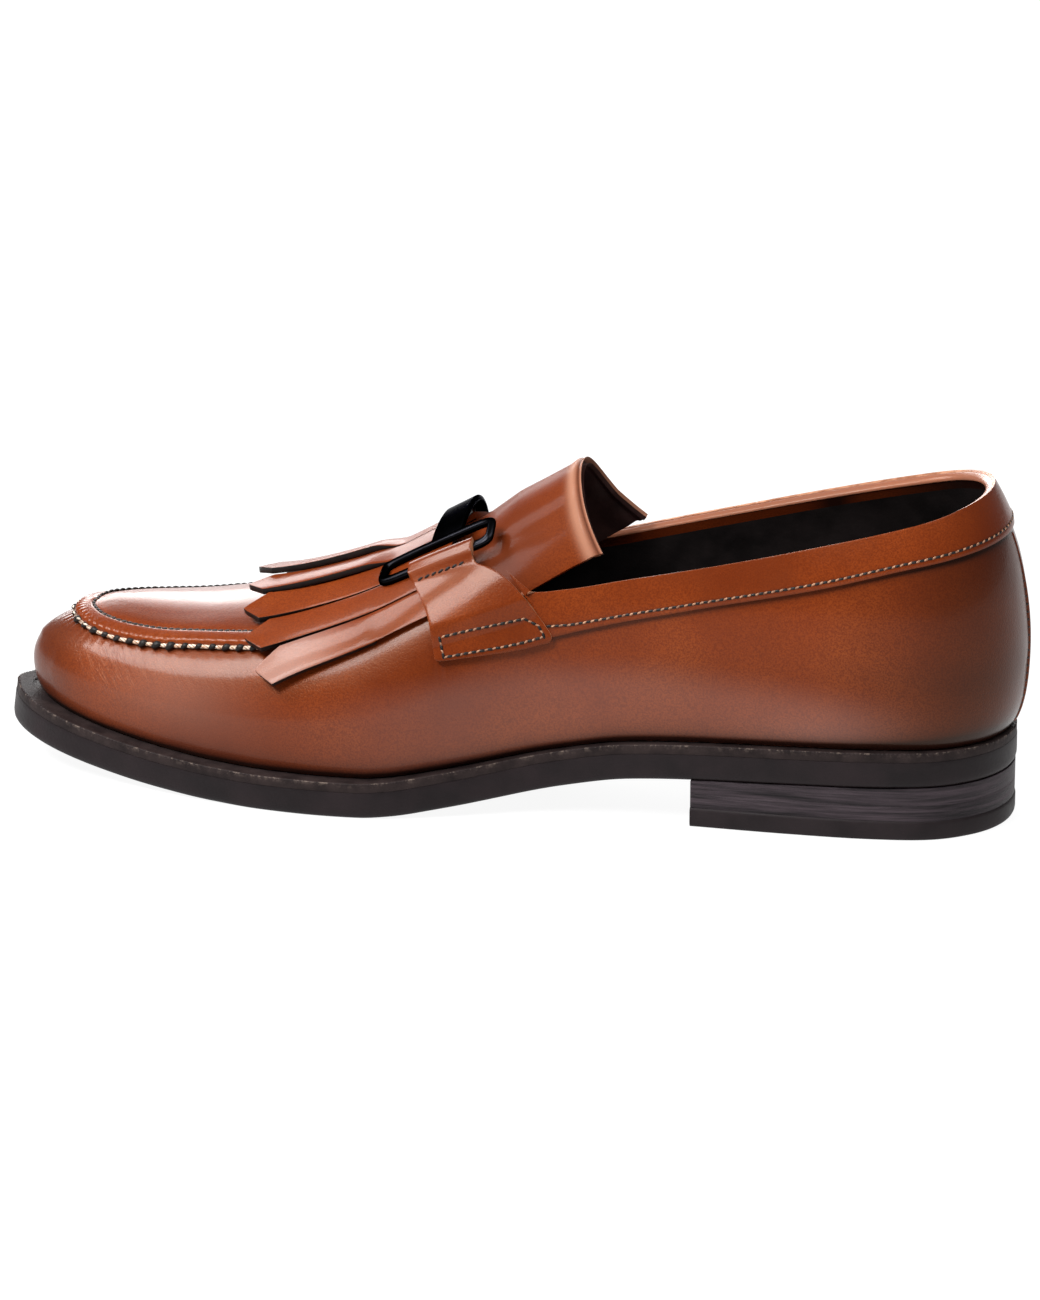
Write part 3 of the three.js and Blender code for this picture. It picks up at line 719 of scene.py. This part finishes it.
midBase = shoe["outsole"] + shoe["gap"]
midRows = [(0.16, 0), (0.1, 0.12), (0.1, 1.2), (0.1, 2.45), (0.16, 2.64), (0.3, 2.76),
           (0.55, 2.82), (0.9, 2.84), (1.4, 2.8), (2.2, 2.78), (4.0, 2.78)]


def weltRidge(u, height):
    return (height >= midBase + welt["from"]) * welt["depth"] * np.sin(loopRun(u) * 2 * math.pi / welt["pitch"])


midRows = [(inset, midBase + height) for inset, height in midRows]
solePiece("midsoleStrip", midRows, midsoleLeather, "midsole", welt["columns"], weltRidge)

heel = {"length": 85.5, "front": 4.8, "topPiece": 5.8, "columns": 300, "breastColumns": 40}


def heelLoop(inset, lift):
    # round the back of the heel from the outer corner and across the breast
    front = heel["length"] + heel["front"] + lift
    fine = np.linspace(0, 1, 2001)
    station = np.interp(front, shoe["soleLength"] * alongOf(fine), fine)
    u = station * (1 - 2 * np.linspace(0, 1, heel["columns"] - heel["breastColumns"]))
    s, t = edge(np.mod(u, 2), inset)
    across = np.linspace(0, 1, heel["breastColumns"] + 2)[1:-1]
    breast = np.full(heel["breastColumns"], front)
    return np.append(np.minimum(s, front), breast), np.append(t, t[-1] + (t[0] - t[-1]) * across)


def heelPiece(name, rows, material, node, lift, height):
    def ring(inset, tall):
        s, t = heelLoop(inset, lift)
        return np.array([s, t, height(s, tall)])

    def midline(s, tall):
        s = np.clip(s, 8, heel["length"] - 6)
        return np.array([s, centreLine(s), height(s, tall)])

    piece, i, j = ringPiece(name, rows, heel["columns"], ring, midline)
    weld(piece)
    return dress(piece, [material], [node], angle=35)


def stackHeight(s, share):
    foot = heel["topPiece"] + shoe["gap"]
    return foot + (np.maximum(rise(s) - 0.06, foot + 0.6) - foot) * share


topPieceRows = [(1.1, 0), (0.5, 0.25), (0.2, 0.8), (0.1, 1.4), (0.1, 4.9), (0.25, 5.5), (0.5, 5.8)]
piece = heelPiece("heelTopPiece", topPieceRows, topRubber, "heel_top_piece", 0.0, lambda s, tall: s * 0 + tall)
treadFaces(piece, topTread)
stackRows = [(0.45, -0.03), (0.35, 0.02), (0.35, 0.3), (0.35, 0.46), (0.42, 0.48),
             (0.42, 0.5), (0.35, 0.52), (0.35, 0.97), (0.4, 1.0)]
heelPiece("heelStack", stackRows, stackRubber, "heel_stack", -0.1, stackHeight)
print("sole made")

upper = {"columns": 480, "outerRows": 84, "rimRows": 6, "innerRows": 24, "girth": 75}
upperU = np.arange(upper["columns"] + 1) * 2 / upper["columns"]
upperTop = crossing(upperU, topHeight)
rimFrom = upper["outerRows"]
rimTo = rimFrom + upper["rimRows"]
seam = {
    "along": [0.712, 0.79, 0.84, 0.89, 0.93, 0.97, 1],
    "v": [0.64, 0.66, 0.652, 0.655, 0.675, 0.71, 0.75],
    "gather": 4.4, "depth": 0.3, "reach": 3.6,
}
seamV = curveThrough(stationOf(seam["along"]), seam["v"])
seamStart = float(stationOf(seam["along"][0]))


def onVamp(station):
    return smooth(station, seamStart - 0.06, seamStart + 0.02)


def upperRelief(u, v):
    # gathers under the seam, and the soft hollows of a worn-in last
    s, t, z = surface(u, v, 0.0)
    station = stationAt(u)
    below = (seamV(station) - v) * upper["girth"]
    run = loopRun(u)
    puckers = np.sin(run * 2 * math.pi / seam["gather"] + 1.3 * np.sin(run / 17)) * 0.5 + 0.5
    fading = np.exp(-np.maximum(below, 0) / seam["reach"]) * (below > -2)
    soft = 0.245 * np.sin(s / 17 + z / 11) * np.sin(s / 29 - z / 13 + 1) * smooth(v, 0.05, 0.25)
    return soft - seam["depth"] * puckers ** 1.5 * fading * onVamp(station)


def upperShape(i, j):
    u, top = upperU[i], upperTop[i]
    share = np.clip(j / rimFrom, 0, 1)
    v = top * np.where(j <= rimTo, share, 1 - np.clip((j - rimTo) / upper["innerRows"], 0, 1) ** 1.5)
    turn = math.pi * np.clip((j - rimFrom) / upper["rimRows"], 0, 1)
    pts = surface(u, v, -shoe["wall"] * (1 - np.cos(turn)) / 2)
    atCollar = top < 0.999
    pts[2] += atCollar * (j > rimFrom) * (j < rimTo) * 0.2 * np.sin(turn)
    relief = (j <= rimFrom) * upperRelief(u, v) * smooth(v, 0, 0.06) * (1 - smooth(share, 0.93, 1) * atCollar)
    pts = pts + squareOut(u, np.clip(v, 0.004, 0.996)) * relief
    return np.where(j > rimTo + upper["innerRows"], surface(u, 0.0, 0.0), pts)


piece, i, j = bentGrid("upperLeather", upper["columns"], rimTo + upper["innerRows"] + 1, upperShape)
cellI, cellJ = faceCells(piece, i, j)
piece.data.polygons.foreach_set("material_index", (cellJ >= rimTo + 3).astype(np.int32))
vRow = np.where(j <= rimFrom, upperTop[i] * np.clip(j / rimFrom, 0, 1), 0.5)
s, t, z = surface(upperU[i], vRow, 0.0)
station = stationAt(upperU[i])
near = t > 0
tones = [
    0.95 * bell(vRow, 0, 0.05) + 0.5 * bell(vRow, 0, 0.11),  # burnish and painted shade where the upper rolls under, over the welt
    # burnish and painted shade round the heel
    0.62 * (1 - smooth(s, 6, 60)),
    # painted shade on the quarter and over the forepart
    0.13 * bell(z, 47, 8) * (1 - smooth(s, 90, 130)),
    0.18 * smooth(s, 110, 170) * (1 - 0.5 * smooth(s, 240, 280)),
    # painted shade at the front of the toe
    0.46 * smooth(s, 270, 292),
    # painted shade low in the waist
    0.14 * bell(s, 105, 32) * (1 - smooth(z, 34, 56)),
    # painted shade in the gathers under the seam
    0.35 * bell(np.maximum(seamV(station) - vRow, 0) * upper["girth"], 0, 1.6) * onVamp(station),
    # painted shade inside the collar
    0.45 * (j > rimTo),
    0.6 * bell(overLine(s, t, z, bandLowCurve), -0.3, 0.9) * (s < 131),  # painted shadow under the band's edge
]
paint(piece, np.clip(sum(tones), 0, 1))
# painted reflection of the pale floor low on the quarter
paintedReflectionTop = np.interp(s, [20, 60, 100, 140, 180, 230, 300], [45, 49, 52, 50, 42, 30, 24])
paintedReflection = 0.065 * (1 - smooth(z, paintedReflectionTop - 12, paintedReflectionTop)) * smooth(s, 8, 50) * (1 - 0.8 * smooth(s, 150, 215))
# the toe's gleam spreading down the vamp: painted highlight, painted reflection and a rougher finish there
glow = near * bell(s, 246, 24) * bell(z, 29, 9)
crease = near * (bell(s, 267, 9) * bell(z, 31, 8) + 0.15 * bell(s, 240, 22) * bell(z, 36, 7))
paint(piece, 0.09 * glow, "paintedHighlight")
paint(piece, 0.3 * glow, "matte")
paint(piece, paintedReflection + 0.045 * glow + 0.06 * bell(s, 48, 24) * bell(z, 29, 7), "paintedReflection")
paint(piece, np.clip(crease, 0, 1), "crease")
closed = (upperTop[cellI] > 0.999) & (upperTop[np.minimum(cellI + 1, upper["columns"])] > 0.999)
cutAway(piece, (cellJ >= rimFrom) & (cellJ < rimTo) & closed)
weld(piece)
activate(piece)
bpy.ops.object.mode_set(mode="EDIT")
bpy.ops.mesh.select_all(action="DESELECT")
bpy.ops.object.mode_set(mode="OBJECT")
for vertex in piece.data.vertices:  # the front of the toe is rubbed smooth
    vertex.select = vertex.co.x < -0.136 and abs(vertex.co.y) < 0.014 and 0.02 < vertex.co.z < 0.036
bpy.ops.object.mode_set(mode="EDIT")
bpy.ops.mesh.vertices_smooth(factor=0.5, repeat=60)
bpy.ops.object.mode_set(mode="OBJECT")
dress(piece, [leather, lining], ["upper"])
print("upper made")


def lineOn(u, v, out, margin=0.0):
    # a line of points over the last and the way out from each
    u = np.mod(u, 2)
    return surface(u, v, out), squareOut(u, np.clip(v, margin, 1 - margin))


# the rolled edge of the collar
collar = {"end": 0.475, "drop": 0.5, "radius": 0.95, "flat": 1.85}
collarU = np.linspace(-collar["end"], collar["end"], 360)
path, away = lineOn(collarU, crossing(np.mod(collarU, 2), topHeight), -0.2, 0.01)
path[2] -= collar["drop"]
rim = rod("collarRim", path, away, collar["radius"], 16, flat=collar["flat"])
paint(rim, 0.0)
# painted highlight along the rolled rim
paint(rim, 0.25, "paintedHighlight")
dress(rim, [leather])

band = {"thickness": 1.1, "columns": 360, "rows": 22, "lowEnd": 0.457, "highEnd": 0.486, "seam": 0.14}
fineU = np.linspace(-0.5, 0.5, 601)
bandLowV = crossing(np.mod(fineU, 2), bandLowCurve)
bandHighV = crossing(np.mod(fineU, 2), lambda s: np.where(s < 138, topHeight(s), 66.2 + (s - 138) * 0.615))


def bandUV(p, w):
    # p runs round the heel from -1 to 1, w up from the lower edge
    low, high = p * band["lowEnd"], p * band["highEnd"]
    lowV, highV = np.interp(low, fineU, bandLowV), np.interp(high, fineU, bandHighV)
    return low * (1 - w) + high * w, lowV * (1 - w) + highV * w


def bandShape(i, j):
    w = j / band["rows"]
    u, v = bandUV(i * 2 / band["columns"] - 1, w)
    return surface(np.mod(u, 2), v, shoe["patchGap"] + band["thickness"] - 0.25 * bell(w, 0, 0.04))


piece, i, j = bentGrid("collarBand", band["columns"], band["rows"], bandShape)
# painted shade in the stitch channel, and less along the lower edge
paint(piece, 0.7 * bell(j / band["rows"], band["seam"], 0.035) + 0.25 * bell(j / band["rows"], 0, 0.03))
weld(piece, 0.001)
face = piece.data.polygons[len(piece.data.polygons) // 2]
if face.normal.dot(Vector((face.center.x - 0.05, face.center.y, 0))) < 0:
    piece.data.flip_normals()
thicken(piece, band["thickness"], 0.25, 2, [leather, paleEdge], rim=1)
dress(piece, [leather, paleEdge], ["collar_band"])

holes = {"pitch": 2.35, "length": 2.3, "material": darkThread, "start": 1.17, "jitter": 0.08}
tanStitch = {"pitch": 2.35, "length": 1.6, "radius": 0.27, "material": tanThread, "twist": 0.3, "jitter": 0.08}
bandEdge = bandUV(np.linspace(-0.995, 0.995, 500), band["seam"])
path, away = lineOn(*bandEdge, shoe["patchGap"] + band["thickness"])
stitchRow("collarHoles", path, away, radius=0.4, sink=0.75, **holes)
stitchRow("collarStitches", path, away, **tanStitch)
backV = np.linspace(0.03, float(bandLowV[300]) - 0.01, 80)
backAway = np.repeat([[-1.0], [0.0], [0.0]], 80, axis=1)
seamRod = rod("backSeam", surface(0.0, backV, -0.2), backAway, 0.75, 10)
paint(seamRod, 0.35)
dress(seamRod, [leather])
backStitch = {"pitch": 2.3, "length": 3.0, "radius": 0.42, "material": darkThread, "jitter": 0.06}
stitchRow("backSeamStitches", surface(0.0, backV, -0.05), backAway, twist=math.pi / 2 - 0.25, **backStitch)
print("collar made")

apron = {
    "columns": 300, "farRows": 22, "farRise": 1.4, "thickness": 1.2,
    "steps": [0, 0.15, 0.4, 0.8, 1.3, 2.0, 3.0, 4.0, 4.8, 5.3, 5.6, 5.9, 6.2, 6.6, 7.2, 8.2],
    "rise": [0.3, 1.1, 1.75, 2.15, 2.32, 2.35, 2.25, 2.12, 2.0, 1.85, 1.55, 1.3, 1.28, 1.35, 1.4, 1.4],
}
apronU = np.linspace(seamStart, 2 - seamStart, apron["columns"] + 1)
apronSeam = seamV(stationAt(apronU))
apronV = upFrom(apronU, apronSeam, apron["steps"])
farShare = np.linspace(0, 1, apron["farRows"] + 1)[None, 1:]
apronV = np.concatenate([apronV, apronV[:, -1:] + (1 - apronV[:, -1:]) * farShare], axis=1)
apronOut = np.append(apron["rise"], np.full(apron["farRows"], apron["farRise"]))


def apronFarLift(u):
    return 0.4 * smooth(u, 1.03, 1.12)


def apronShape(i, j):
    u, v = apronU[i], apronV[i, j]
    s, t, z = surface(u, v, 0.0)
    soft = 0.3 * np.sin(s / 15 + 0.7) * np.cos(t / 19) * smooth(j, 14, 22)
    scallop = 0.12 * np.sin(loopRun(u) * 2 * math.pi / 4.1) * (j < 6)
    lift = apronFarLift(u) * np.interp(j, [0, 3, 11, 16, 26, 37], [0.2, 0.8, 1, 0.8, 0.3, 0])
    out = shoe["patchGap"] + apronOut[j] - 0.3 + soft + lift + scallop
    return np.array([s, t, z]) + squareOut(u, np.clip(v, 0.004, 0.994)) * out


piece, i, j = bentGrid("apronPlug", apron["columns"], len(apronOut) - 1, apronShape)
nearHalf = 1 - smooth(apronU[i], 0.95, 1.05)
# painted shade at the seam's foot, in the step under the inner stitch line and over the middle of the near half;
# painted reflection high on the near half
midShade = 0.24 * nearHalf * smooth(j, 13, 17) * (1 - smooth(j, 22, 32))
paint(piece, 0.55 * bell(j, 11, 1.3) + 0.4 * bell(j, 0, 1.5) + midShade)
paint(piece, 0.14 * nearHalf * smooth(j, 24, 33), "paintedReflection")
weld(piece)
turnOut(piece)
thicken(piece, apron["thickness"], even=False)
dress(piece, [leather], ["apron"])

whip = {"pitch": 4.7, "length": 3.5, "radius": 0.95, "material": darkThread,
        "twist": 0.62, "start": -2.35, "jitter": 0.24, "sway": 0.9}
glint = {"pitch": whip["pitch"], "length": 2.0, "radius": 0.34, "material": paleThread, "twist": 0.25, "jitter": 0.12}
seamU = np.linspace(seamStart, 2 - seamStart, 1600)
seamLine = upFrom(seamU, seamV(stationAt(seamU)), [0.1])[:, 0]
path, away = lineOn(seamU, seamLine, 0.95)
scallop = 0.68 + 0.42 * np.abs(np.sin(runAlong(path) * math.pi / whip["pitch"])) ** 0.8
bead = rod("seamBead", path, away, 0.6 * scallop, 10)
heelX = float(place(np.zeros((3, 1)))[0][0])
paint(bead, smooth([(heelX - vertex.co.x) * 1000 for vertex in bead.data.vertices], 272, 290))
dress(bead, [seamEdge])
stitchRow("seamWhipStitches", surface(seamU, seamLine, 1.15), away, **whip)
toePart = np.abs(seamU - 1) < 0.17
stitchRow("seamToeGlints", surface(seamU, seamLine, 1.95)[:, toePart], away[:, toePart], **glint)

inner = {"pitch": 2.1, "length": 2.7, "radius": 0.52, "material": darkThread, "twist": 0.3, "jitter": 0.12}
innerGlint = {"pitch": inner["pitch"], "length": 0.85, "radius": 0.14, "material": tanThread,
              "twist": -0.5, "start": 1.05, "jitter": 0.15}
innerV = upFrom(apronU, apronSeam, [6.1])[:, 0]
innerLift = apronFarLift(apronU)
path, away = lineOn(apronU, innerV, 1.5 + innerLift + 0.45 * smooth(apronU, 1.04, 1.14))
stitchRow("innerSeamStitches", path, away, **inner)
nearPart = apronU < 1.05
path = surface(apronU, innerV, 1.72 + innerLift)
stitchRow("innerSeamGlints", path[:, nearPart], away[:, nearPart], **innerGlint)
print("apron made")

fringe = {"root": 182.0, "back": 164.0, "point": 6.0, "thickness": 1.85, "across": 8, "rootRows": 14, "rows": 46}
fringeTable = {  # one value for each strip
    "mid": [43.4, 32.4, 21.8, 10.9, 0, -10.9, -21.8, -32.4, -43.4],
    "wide": [11, 10, 10.2, 10.3, 10.4, 10.3, 10.2, 10, 11],
    "tip": [217, 222.5, 225.5, 227.5, 228.5, 227.5, 225.5, 222.5, 217],
    "rise": [2.2, 3.0, 3.8, 3.65, 3.4, 2.9, 2.0, 1.4, 1.0],
    "early": [0, 0, 0.1, 1.5, 2.3, 0.9, 0.2, 0, 0],
    "tilt": [0.3, 0.2, -0.5, 1.2, 1.6, -0.5, 0, 0, 0],
    "bend": [1.8, 1.8, 1.6, 1.2, 1.1, 1.2, 1.6, 1.8, 1.8],
}


def fringeShape(i, j):
    k = np.minimum(i // (fringe["across"] + 1), 8)
    w = (i % (fringe["across"] + 1)) / fringe["across"] - 0.5
    mid, wide, tip, rises, early, tilt, bend = (np.array(row, float)[k] for row in fringeTable.values())
    rooted = j <= fringe["rootRows"]
    pRoot = np.clip(j / fringe["rootRows"], 0, 1)
    p = np.clip((j - fringe["rootRows"]) / fringe["rows"], 0, 1)
    end = tip - fringe["point"] * np.maximum(np.abs(2 * w) * 1.06 - 0.06, 0) * np.clip((p - 0.55) / 0.45, 0, 1)
    root, back = fringe["root"], fringe["back"]
    s = np.where(rooted, back + (root - back) * pRoot, root + (end - root) * p)
    a = (mid + w * wide) * np.where(rooted, 0.87 + 0.06 * pRoot, 0.93 + 0.09 * p)
    up = rises * p ** bend + early * smooth(p, 0, 0.22) + 0.2 * np.sin(k * 2.4 + 3 * p) * p
    crown = 0.2 * (1 - (2 * w) ** 2) * smooth(p, 0, 0.15) + tilt * w * smooth(p, 0, 0.3)
    return onLast(s, a, shoe["patchGap"] + fringe["thickness"] + up + crown)


columnCount = 9 * (fringe["across"] + 1) - 1
piece, i, j = bentGrid("kiltieFringe", columnCount, fringe["rootRows"] + fringe["rows"], fringeShape)
cellI, cellJ = faceCells(piece, i, j)
cutAway(piece, (cellI % (fringe["across"] + 1) == fringe["across"]) & (cellJ >= fringe["rootRows"]))
turnOut(piece)
outerStrip = i // (fringe["across"] + 1) % 8 == 0
along = smooth((j - fringe["rootRows"]) / fringe["rows"], 0.1, 0.75)
paint(piece, 0.0)
paint(piece, np.where(outerStrip, 0.25, 0.4), "matte")
# painted highlight and painted reflection along the outermost strips
paint(piece, 0.14 * outerStrip * along, "paintedHighlight")
paint(piece, 0.15 * outerStrip * along, "paintedReflection")
thicken(piece, fringe["thickness"], 0.22, 2, [leather, cutEdge], rim=1, angle=45, even=False)
dress(piece, [leather, cutEdge], ["kiltie"])
print("kiltie made")

tongue = {
    "back": 128.6, "front": 176.0, "length": 45.5, "thickness": 2.0, "lift": 1.9, "flare": 6,
    "outerHalf": 39.5, "innerHalf": 36.5, "outerSweep": 10.2, "innerSweep": 14.6, "columns": 60, "rows": 50,
}


def tongueShape(i, j):
    w = i / tongue["columns"] * 2 - 1
    p = (j / tongue["rows"]) ** 1.6
    half = np.where(w > 0, tongue["outerHalf"], tongue["innerHalf"]) + tongue["flare"] * np.minimum(1, p * 1.9)
    back = tongue["back"] - np.where(w > 0, tongue["outerSweep"], tongue["innerSweep"]) * np.abs(w) ** 1.9
    s = back + (tongue["front"] - back) * p
    clear = np.clip((158 - s) / 10, 0, 1) * np.maximum(0, 1 - (w * half / 24) ** 2)
    wave = 0.25 * np.sin(w * 5 + p * 3) * (1 - p)
    inFrom = p * tongue["length"]
    rolled = 0.55 * bell(inFrom, 2.2, 1.3) - 0.3 * bell(inFrom, 0.85, 0.35) - 0.15 * (j == 0)
    under = shoe["wall"] + shoe["patchGap"] + 0.15
    return onLast(s, half * w, tongue["lift"] * clear + wave + rolled - under)


piece, i, j = bentGrid("tongueFlap", tongue["columns"], tongue["rows"], tongueShape)
turnOut(piece)
inFrom = (j / tongue["rows"]) ** 1.6 * tongue["length"]
# a little painted shade over the tongue, and more in the crease behind the rolled edge
paint(piece, 0.14 + 0.5 * bell(inFrom, 0.85, 0.28))
# painted highlight along the rolled rear edge
paint(piece, 0.5 * bell(inFrom, 0, 0.5) + 0.5 * bell(inFrom, 2.6, 1.4), "paintedHighlight")
paint(piece, 0.85, "matte")
thicken(piece, tongue["thickness"], 0.35, 3, [leather, tongueLining], inside=1)
dress(piece, [leather, tongueLining], ["tongue"])
print("tongue made")

strap = {
    "front": [[175.6, 28.2], [173, 32.5], [170.4, 37.2], [167.6, 43.2], [165.8, 49], [164.6, 53.6], [164.0, 56.9]],
    "rear": [[157.4, 28.2], [155.4, 32], [150.6, 35.4], [145.5, 40], [140.2, 46.6], [135.2, 53.8], [130.4, 62.4]],
    "fold": [[24.2, 3.4], [23.9, 4.3], [24.4, 5.3], [25.4, 6.0], [26.7, 6.1], [28.2, 5.5], [29.6, 4.7]],
    "box": [(0.08, 0.72), (0.88, 0.8), (0.95, 0.88), (0.94, 0.955), (0.08, 0.95), (0.08, 0.72)],
    "thickness": 1.6, "columns": 28, "rows": 60, "over": 1.8, "hump": 1.9,
}
strapRow = {"pitch": 2.2, "length": 2.0, "radius": 0.36, "material": darkThread, "twist": 0.3, "jitter": 0.08}
strapCurves = {}
for side in ("front", "rear"):
    strapCurves[side] = [curveThrough(np.linspace(0, 1, 7), [q[k] for q in strap[side]]) for k in (0, 1)]


def strapEdge(p, q):
    # p runs from the front edge to the rear one, q from the bar down
    return [strapCurves["front"][k](q) * (1 - p) + strapCurves["rear"][k](q) * p for k in (0, 1)]


def strapPoint(side, p, q, out=0.0):
    s, a = strapEdge(p, q)
    over = strap["over"] * np.clip((53 - a) / 6, 0, 1) + strap["hump"] * bell(a, 28, 2.6)
    return onLast(s, side * a, shoe["patchGap"] + strap["thickness"] + over + out)


def strapLine(side, p, q):
    path = strapPoint(side, p, q, 0.02)
    return path, strapPoint(side, p, q, 1.02) - path


def makeStrap(side, name, node):
    fold = len(strap["fold"])

    def shape(i, j):
        p = i / strap["columns"]
        q = np.clip((j - fold + 1) / (strap["rows"] - fold + 1), 0, 1)
        rounded = 1 - 0.09 * np.clip((q - 0.93) / 0.07, 0, 1) ** 3
        main = strapPoint(side, 0.5 + (p - 0.5) * rounded, q)
        folded = np.array(strap["fold"])[np.minimum(j, fold - 1)]
        turned = onLast(strapEdge(p, 0)[0], side * folded[:, 0], folded[:, 1])
        return np.where(j < fold - 1, turned, main)

    piece, i, j = bentGrid(name, strap["columns"], strap["rows"], shape)
    turnOut(piece, (0, -side, 0.6))
    paint(piece, 0.3 * bell(j, strap["rows"], 1.5))
    thicken(piece, strap["thickness"] - 0.2, 0.28, 2, [leather, paleEdge], rim=1)
    dress(piece, [leather, paleEdge], [node])
    share = np.linspace(0, 1, 24)[None, :-1]
    corners = np.array(strap["box"])
    p, q = (corners[:-1, k, None] + (corners[1:, k, None] - corners[:-1, k, None]) * share for k in (0, 1))
    path, away = strapLine(side, p.ravel(), q.ravel())
    stitchRow(name + "Holes", path, away, radius=0.42, sink=0.6, **holes)
    stitchRow(name + "Box", path, away, **tanStitch)
    share = np.linspace(0.08, 0.92, 40)
    stitchRow(name + "Row", *strapLine(side, share, share * 0 + 0.13), **strapRow)


makeStrap(1, "strapLateral", "strap_lateral")
makeStrap(-1, "strapMedial", "strap_medial")
print("straps made")

bit = {
    "centre": 168.0, "length": 34.0, "wire": 2.5, "top": 17.6, "bottom": 27.8, "base": 2.3, "thickness": 2.3,
    "band": 9.0, "bandThickness": 1.8, "bandShift": -1.5, "arch": 0.5, "columns": 72, "rows": 14, "round": 0.32,
}


def bitLoop(side, name):
    # a plain rounded oblong over the strap tab
    halfS, halfA = (bit["length"] - bit["wire"]) / 2, (bit["bottom"] - bit["top"] - bit["wire"]) / 2
    turn = np.linspace(0, 2 * math.pi, 97)[:-1]
    c, z = (np.sign(x) * np.abs(x) ** bit["round"] for x in (np.cos(turn), np.sin(turn)))
    s, a = bit["centre"] + halfS * c, (bit["top"] + bit["bottom"]) / 2 + halfA * z
    middle = bit["base"] + bit["thickness"] / 2
    path = onLast(s, side * a, middle)
    away = onLast(s, side * a, middle + 1) - path
    return rod(name, path, away, bit["wire"] / 2, 16, loop=True, flat=bit["thickness"] / bit["wire"], square=3.2)


def archShape(i, j):
    w = i / bit["columns"] * 2 - 1
    s = bit["centre"] + bit["bandShift"] + (j / bit["rows"] - 0.5) * bit["band"]
    lift = bit["base"] + 0.35 + bit["arch"] * (1 - w ** 4)
    return onLast(s, w * (bit["top"] + bit["wire"] / 2), lift + bit["bandThickness"])


archBand, i, j = bentGrid("bitBand", bit["columns"], bit["rows"], archShape)
turnOut(archBand)
thicken(archBand, bit["bandThickness"], 0.45, 3)
hardware = joinAll([archBand, bitLoop(1, "bitLoopNear"), bitLoop(-1, "bitLoopFar")], "bitHardware")
dress(hardware, [gunmetal], ["bit"], angle=50)
print("bit made")

insole = {"columns": 300, "clear": 0.7, "rows": [(0.2, 0), (0, 0.3), (0, 1.9), (0.5, 2.4)]}
insoleU = np.arange(insole["columns"]) * 2 / insole["columns"]
insoleEdge = lastColumn["feather"](stationAt(insoleU)) + shoe["wall"] + insole["clear"]


def insoleRing(more, height):
    return overSole(edge(insoleU, insoleEdge + more), height)


def insoleMiddle(s, height):
    return soleMiddle(np.clip(s, 12, shoe["soleLength"] - 16), height)


insoleRows = [(more, uppersFoot + height) for more, height in insole["rows"]]
piece, i, j = ringPiece("insoleSock", insoleRows, insole["columns"], insoleRing, insoleMiddle)
weld(piece)
dress(piece, [sockLeather], ["insole"])
print("insole made")

# floor, light and camera
bpy.ops.object.select_all(action="DESELECT")
bpy.ops.mesh.primitive_plane_add(size=60, location=(0, 0, 0))
floor = bpy.context.active_object
floor.name = "floor"
floorPaint, tree, shader, where = newMaterial("pale floor", 0.9)
feed(shader, "Base Color", (0.1, 0.1, 0.1, 1))
feed(shader, "Emission Color", (1, 1, 1, 1))
feed(shader, "Emission Strength", 0.92)
floor.data.materials.append(floorPaint)

world = bpy.data.worlds.new("studio")
world.use_nodes = True
feed(world.node_tree.nodes["Background"], "Color", (1, 1, 1, 1))
feed(world.node_tree.nodes["Background"], "Strength", 0.2)
bpy.context.scene.world = world
bpy.context.scene.view_settings.view_transform = "Standard"


def softbox(name, at, size, power, aim=(0, 0, 0.05)):
    bpy.ops.object.light_add(type="AREA", location=at)
    light = bpy.context.active_object
    light.name = name
    light.data.shape = "RECTANGLE"
    light.data.size, light.data.size_y = size
    light.data.energy = power
    light.rotation_euler = (Vector(aim) - Vector(at)).to_track_quat("-Z", "Y").to_euler()


def aimed(azimuth, elevation):
    # the direction out at an angle round the shoe and over the floor
    turn, tilt = math.radians(azimuth), math.radians(elevation)
    return Vector((math.sin(turn) * math.cos(tilt), -math.cos(turn) * math.cos(tilt), math.sin(tilt)))


boxes = {  # azimuth, elevation, distance, size, power
    "strapSoftbox": (-31, 46, 1.2, (0.46, 0.34), 12.8),
    "toeSoftbox": (-80, 49, 1.2, (0.38, 0.38), 9.8),
    "fillSoftbox": (50, 60, 1.2, (0.7, 0.5), 5),
    "backSoftbox": (-165, 15.5, 1.5, (1.2, 0.42), 13.5),
}
aim = Vector((0, 0, 0.05))
for name, (azimuth, elevation, distance, size, power) in boxes.items():
    softbox(name, aim + aimed(azimuth, elevation) * distance, size, power)

view = {"azimuth": 12.2, "elevation": 17.0, "distance": 1.54, "scale": 3.389, "target": (0.003464, -0.001418, 0.04)}
back = aimed(view["azimuth"], view["elevation"])
bpy.ops.object.camera_add(location=Vector(view["target"]) + back * view["distance"])
camera = bpy.context.active_object
camera.name = "camera"
camera.rotation_euler = back.to_track_quat("Z", "Y").to_euler()
camera.data.sensor_fit = "AUTO"
camera.data.sensor_width = 36
camera.data.lens = view["scale"] * view["distance"] * 1000 * 36 / 1300
bpy.context.scene.camera = camera
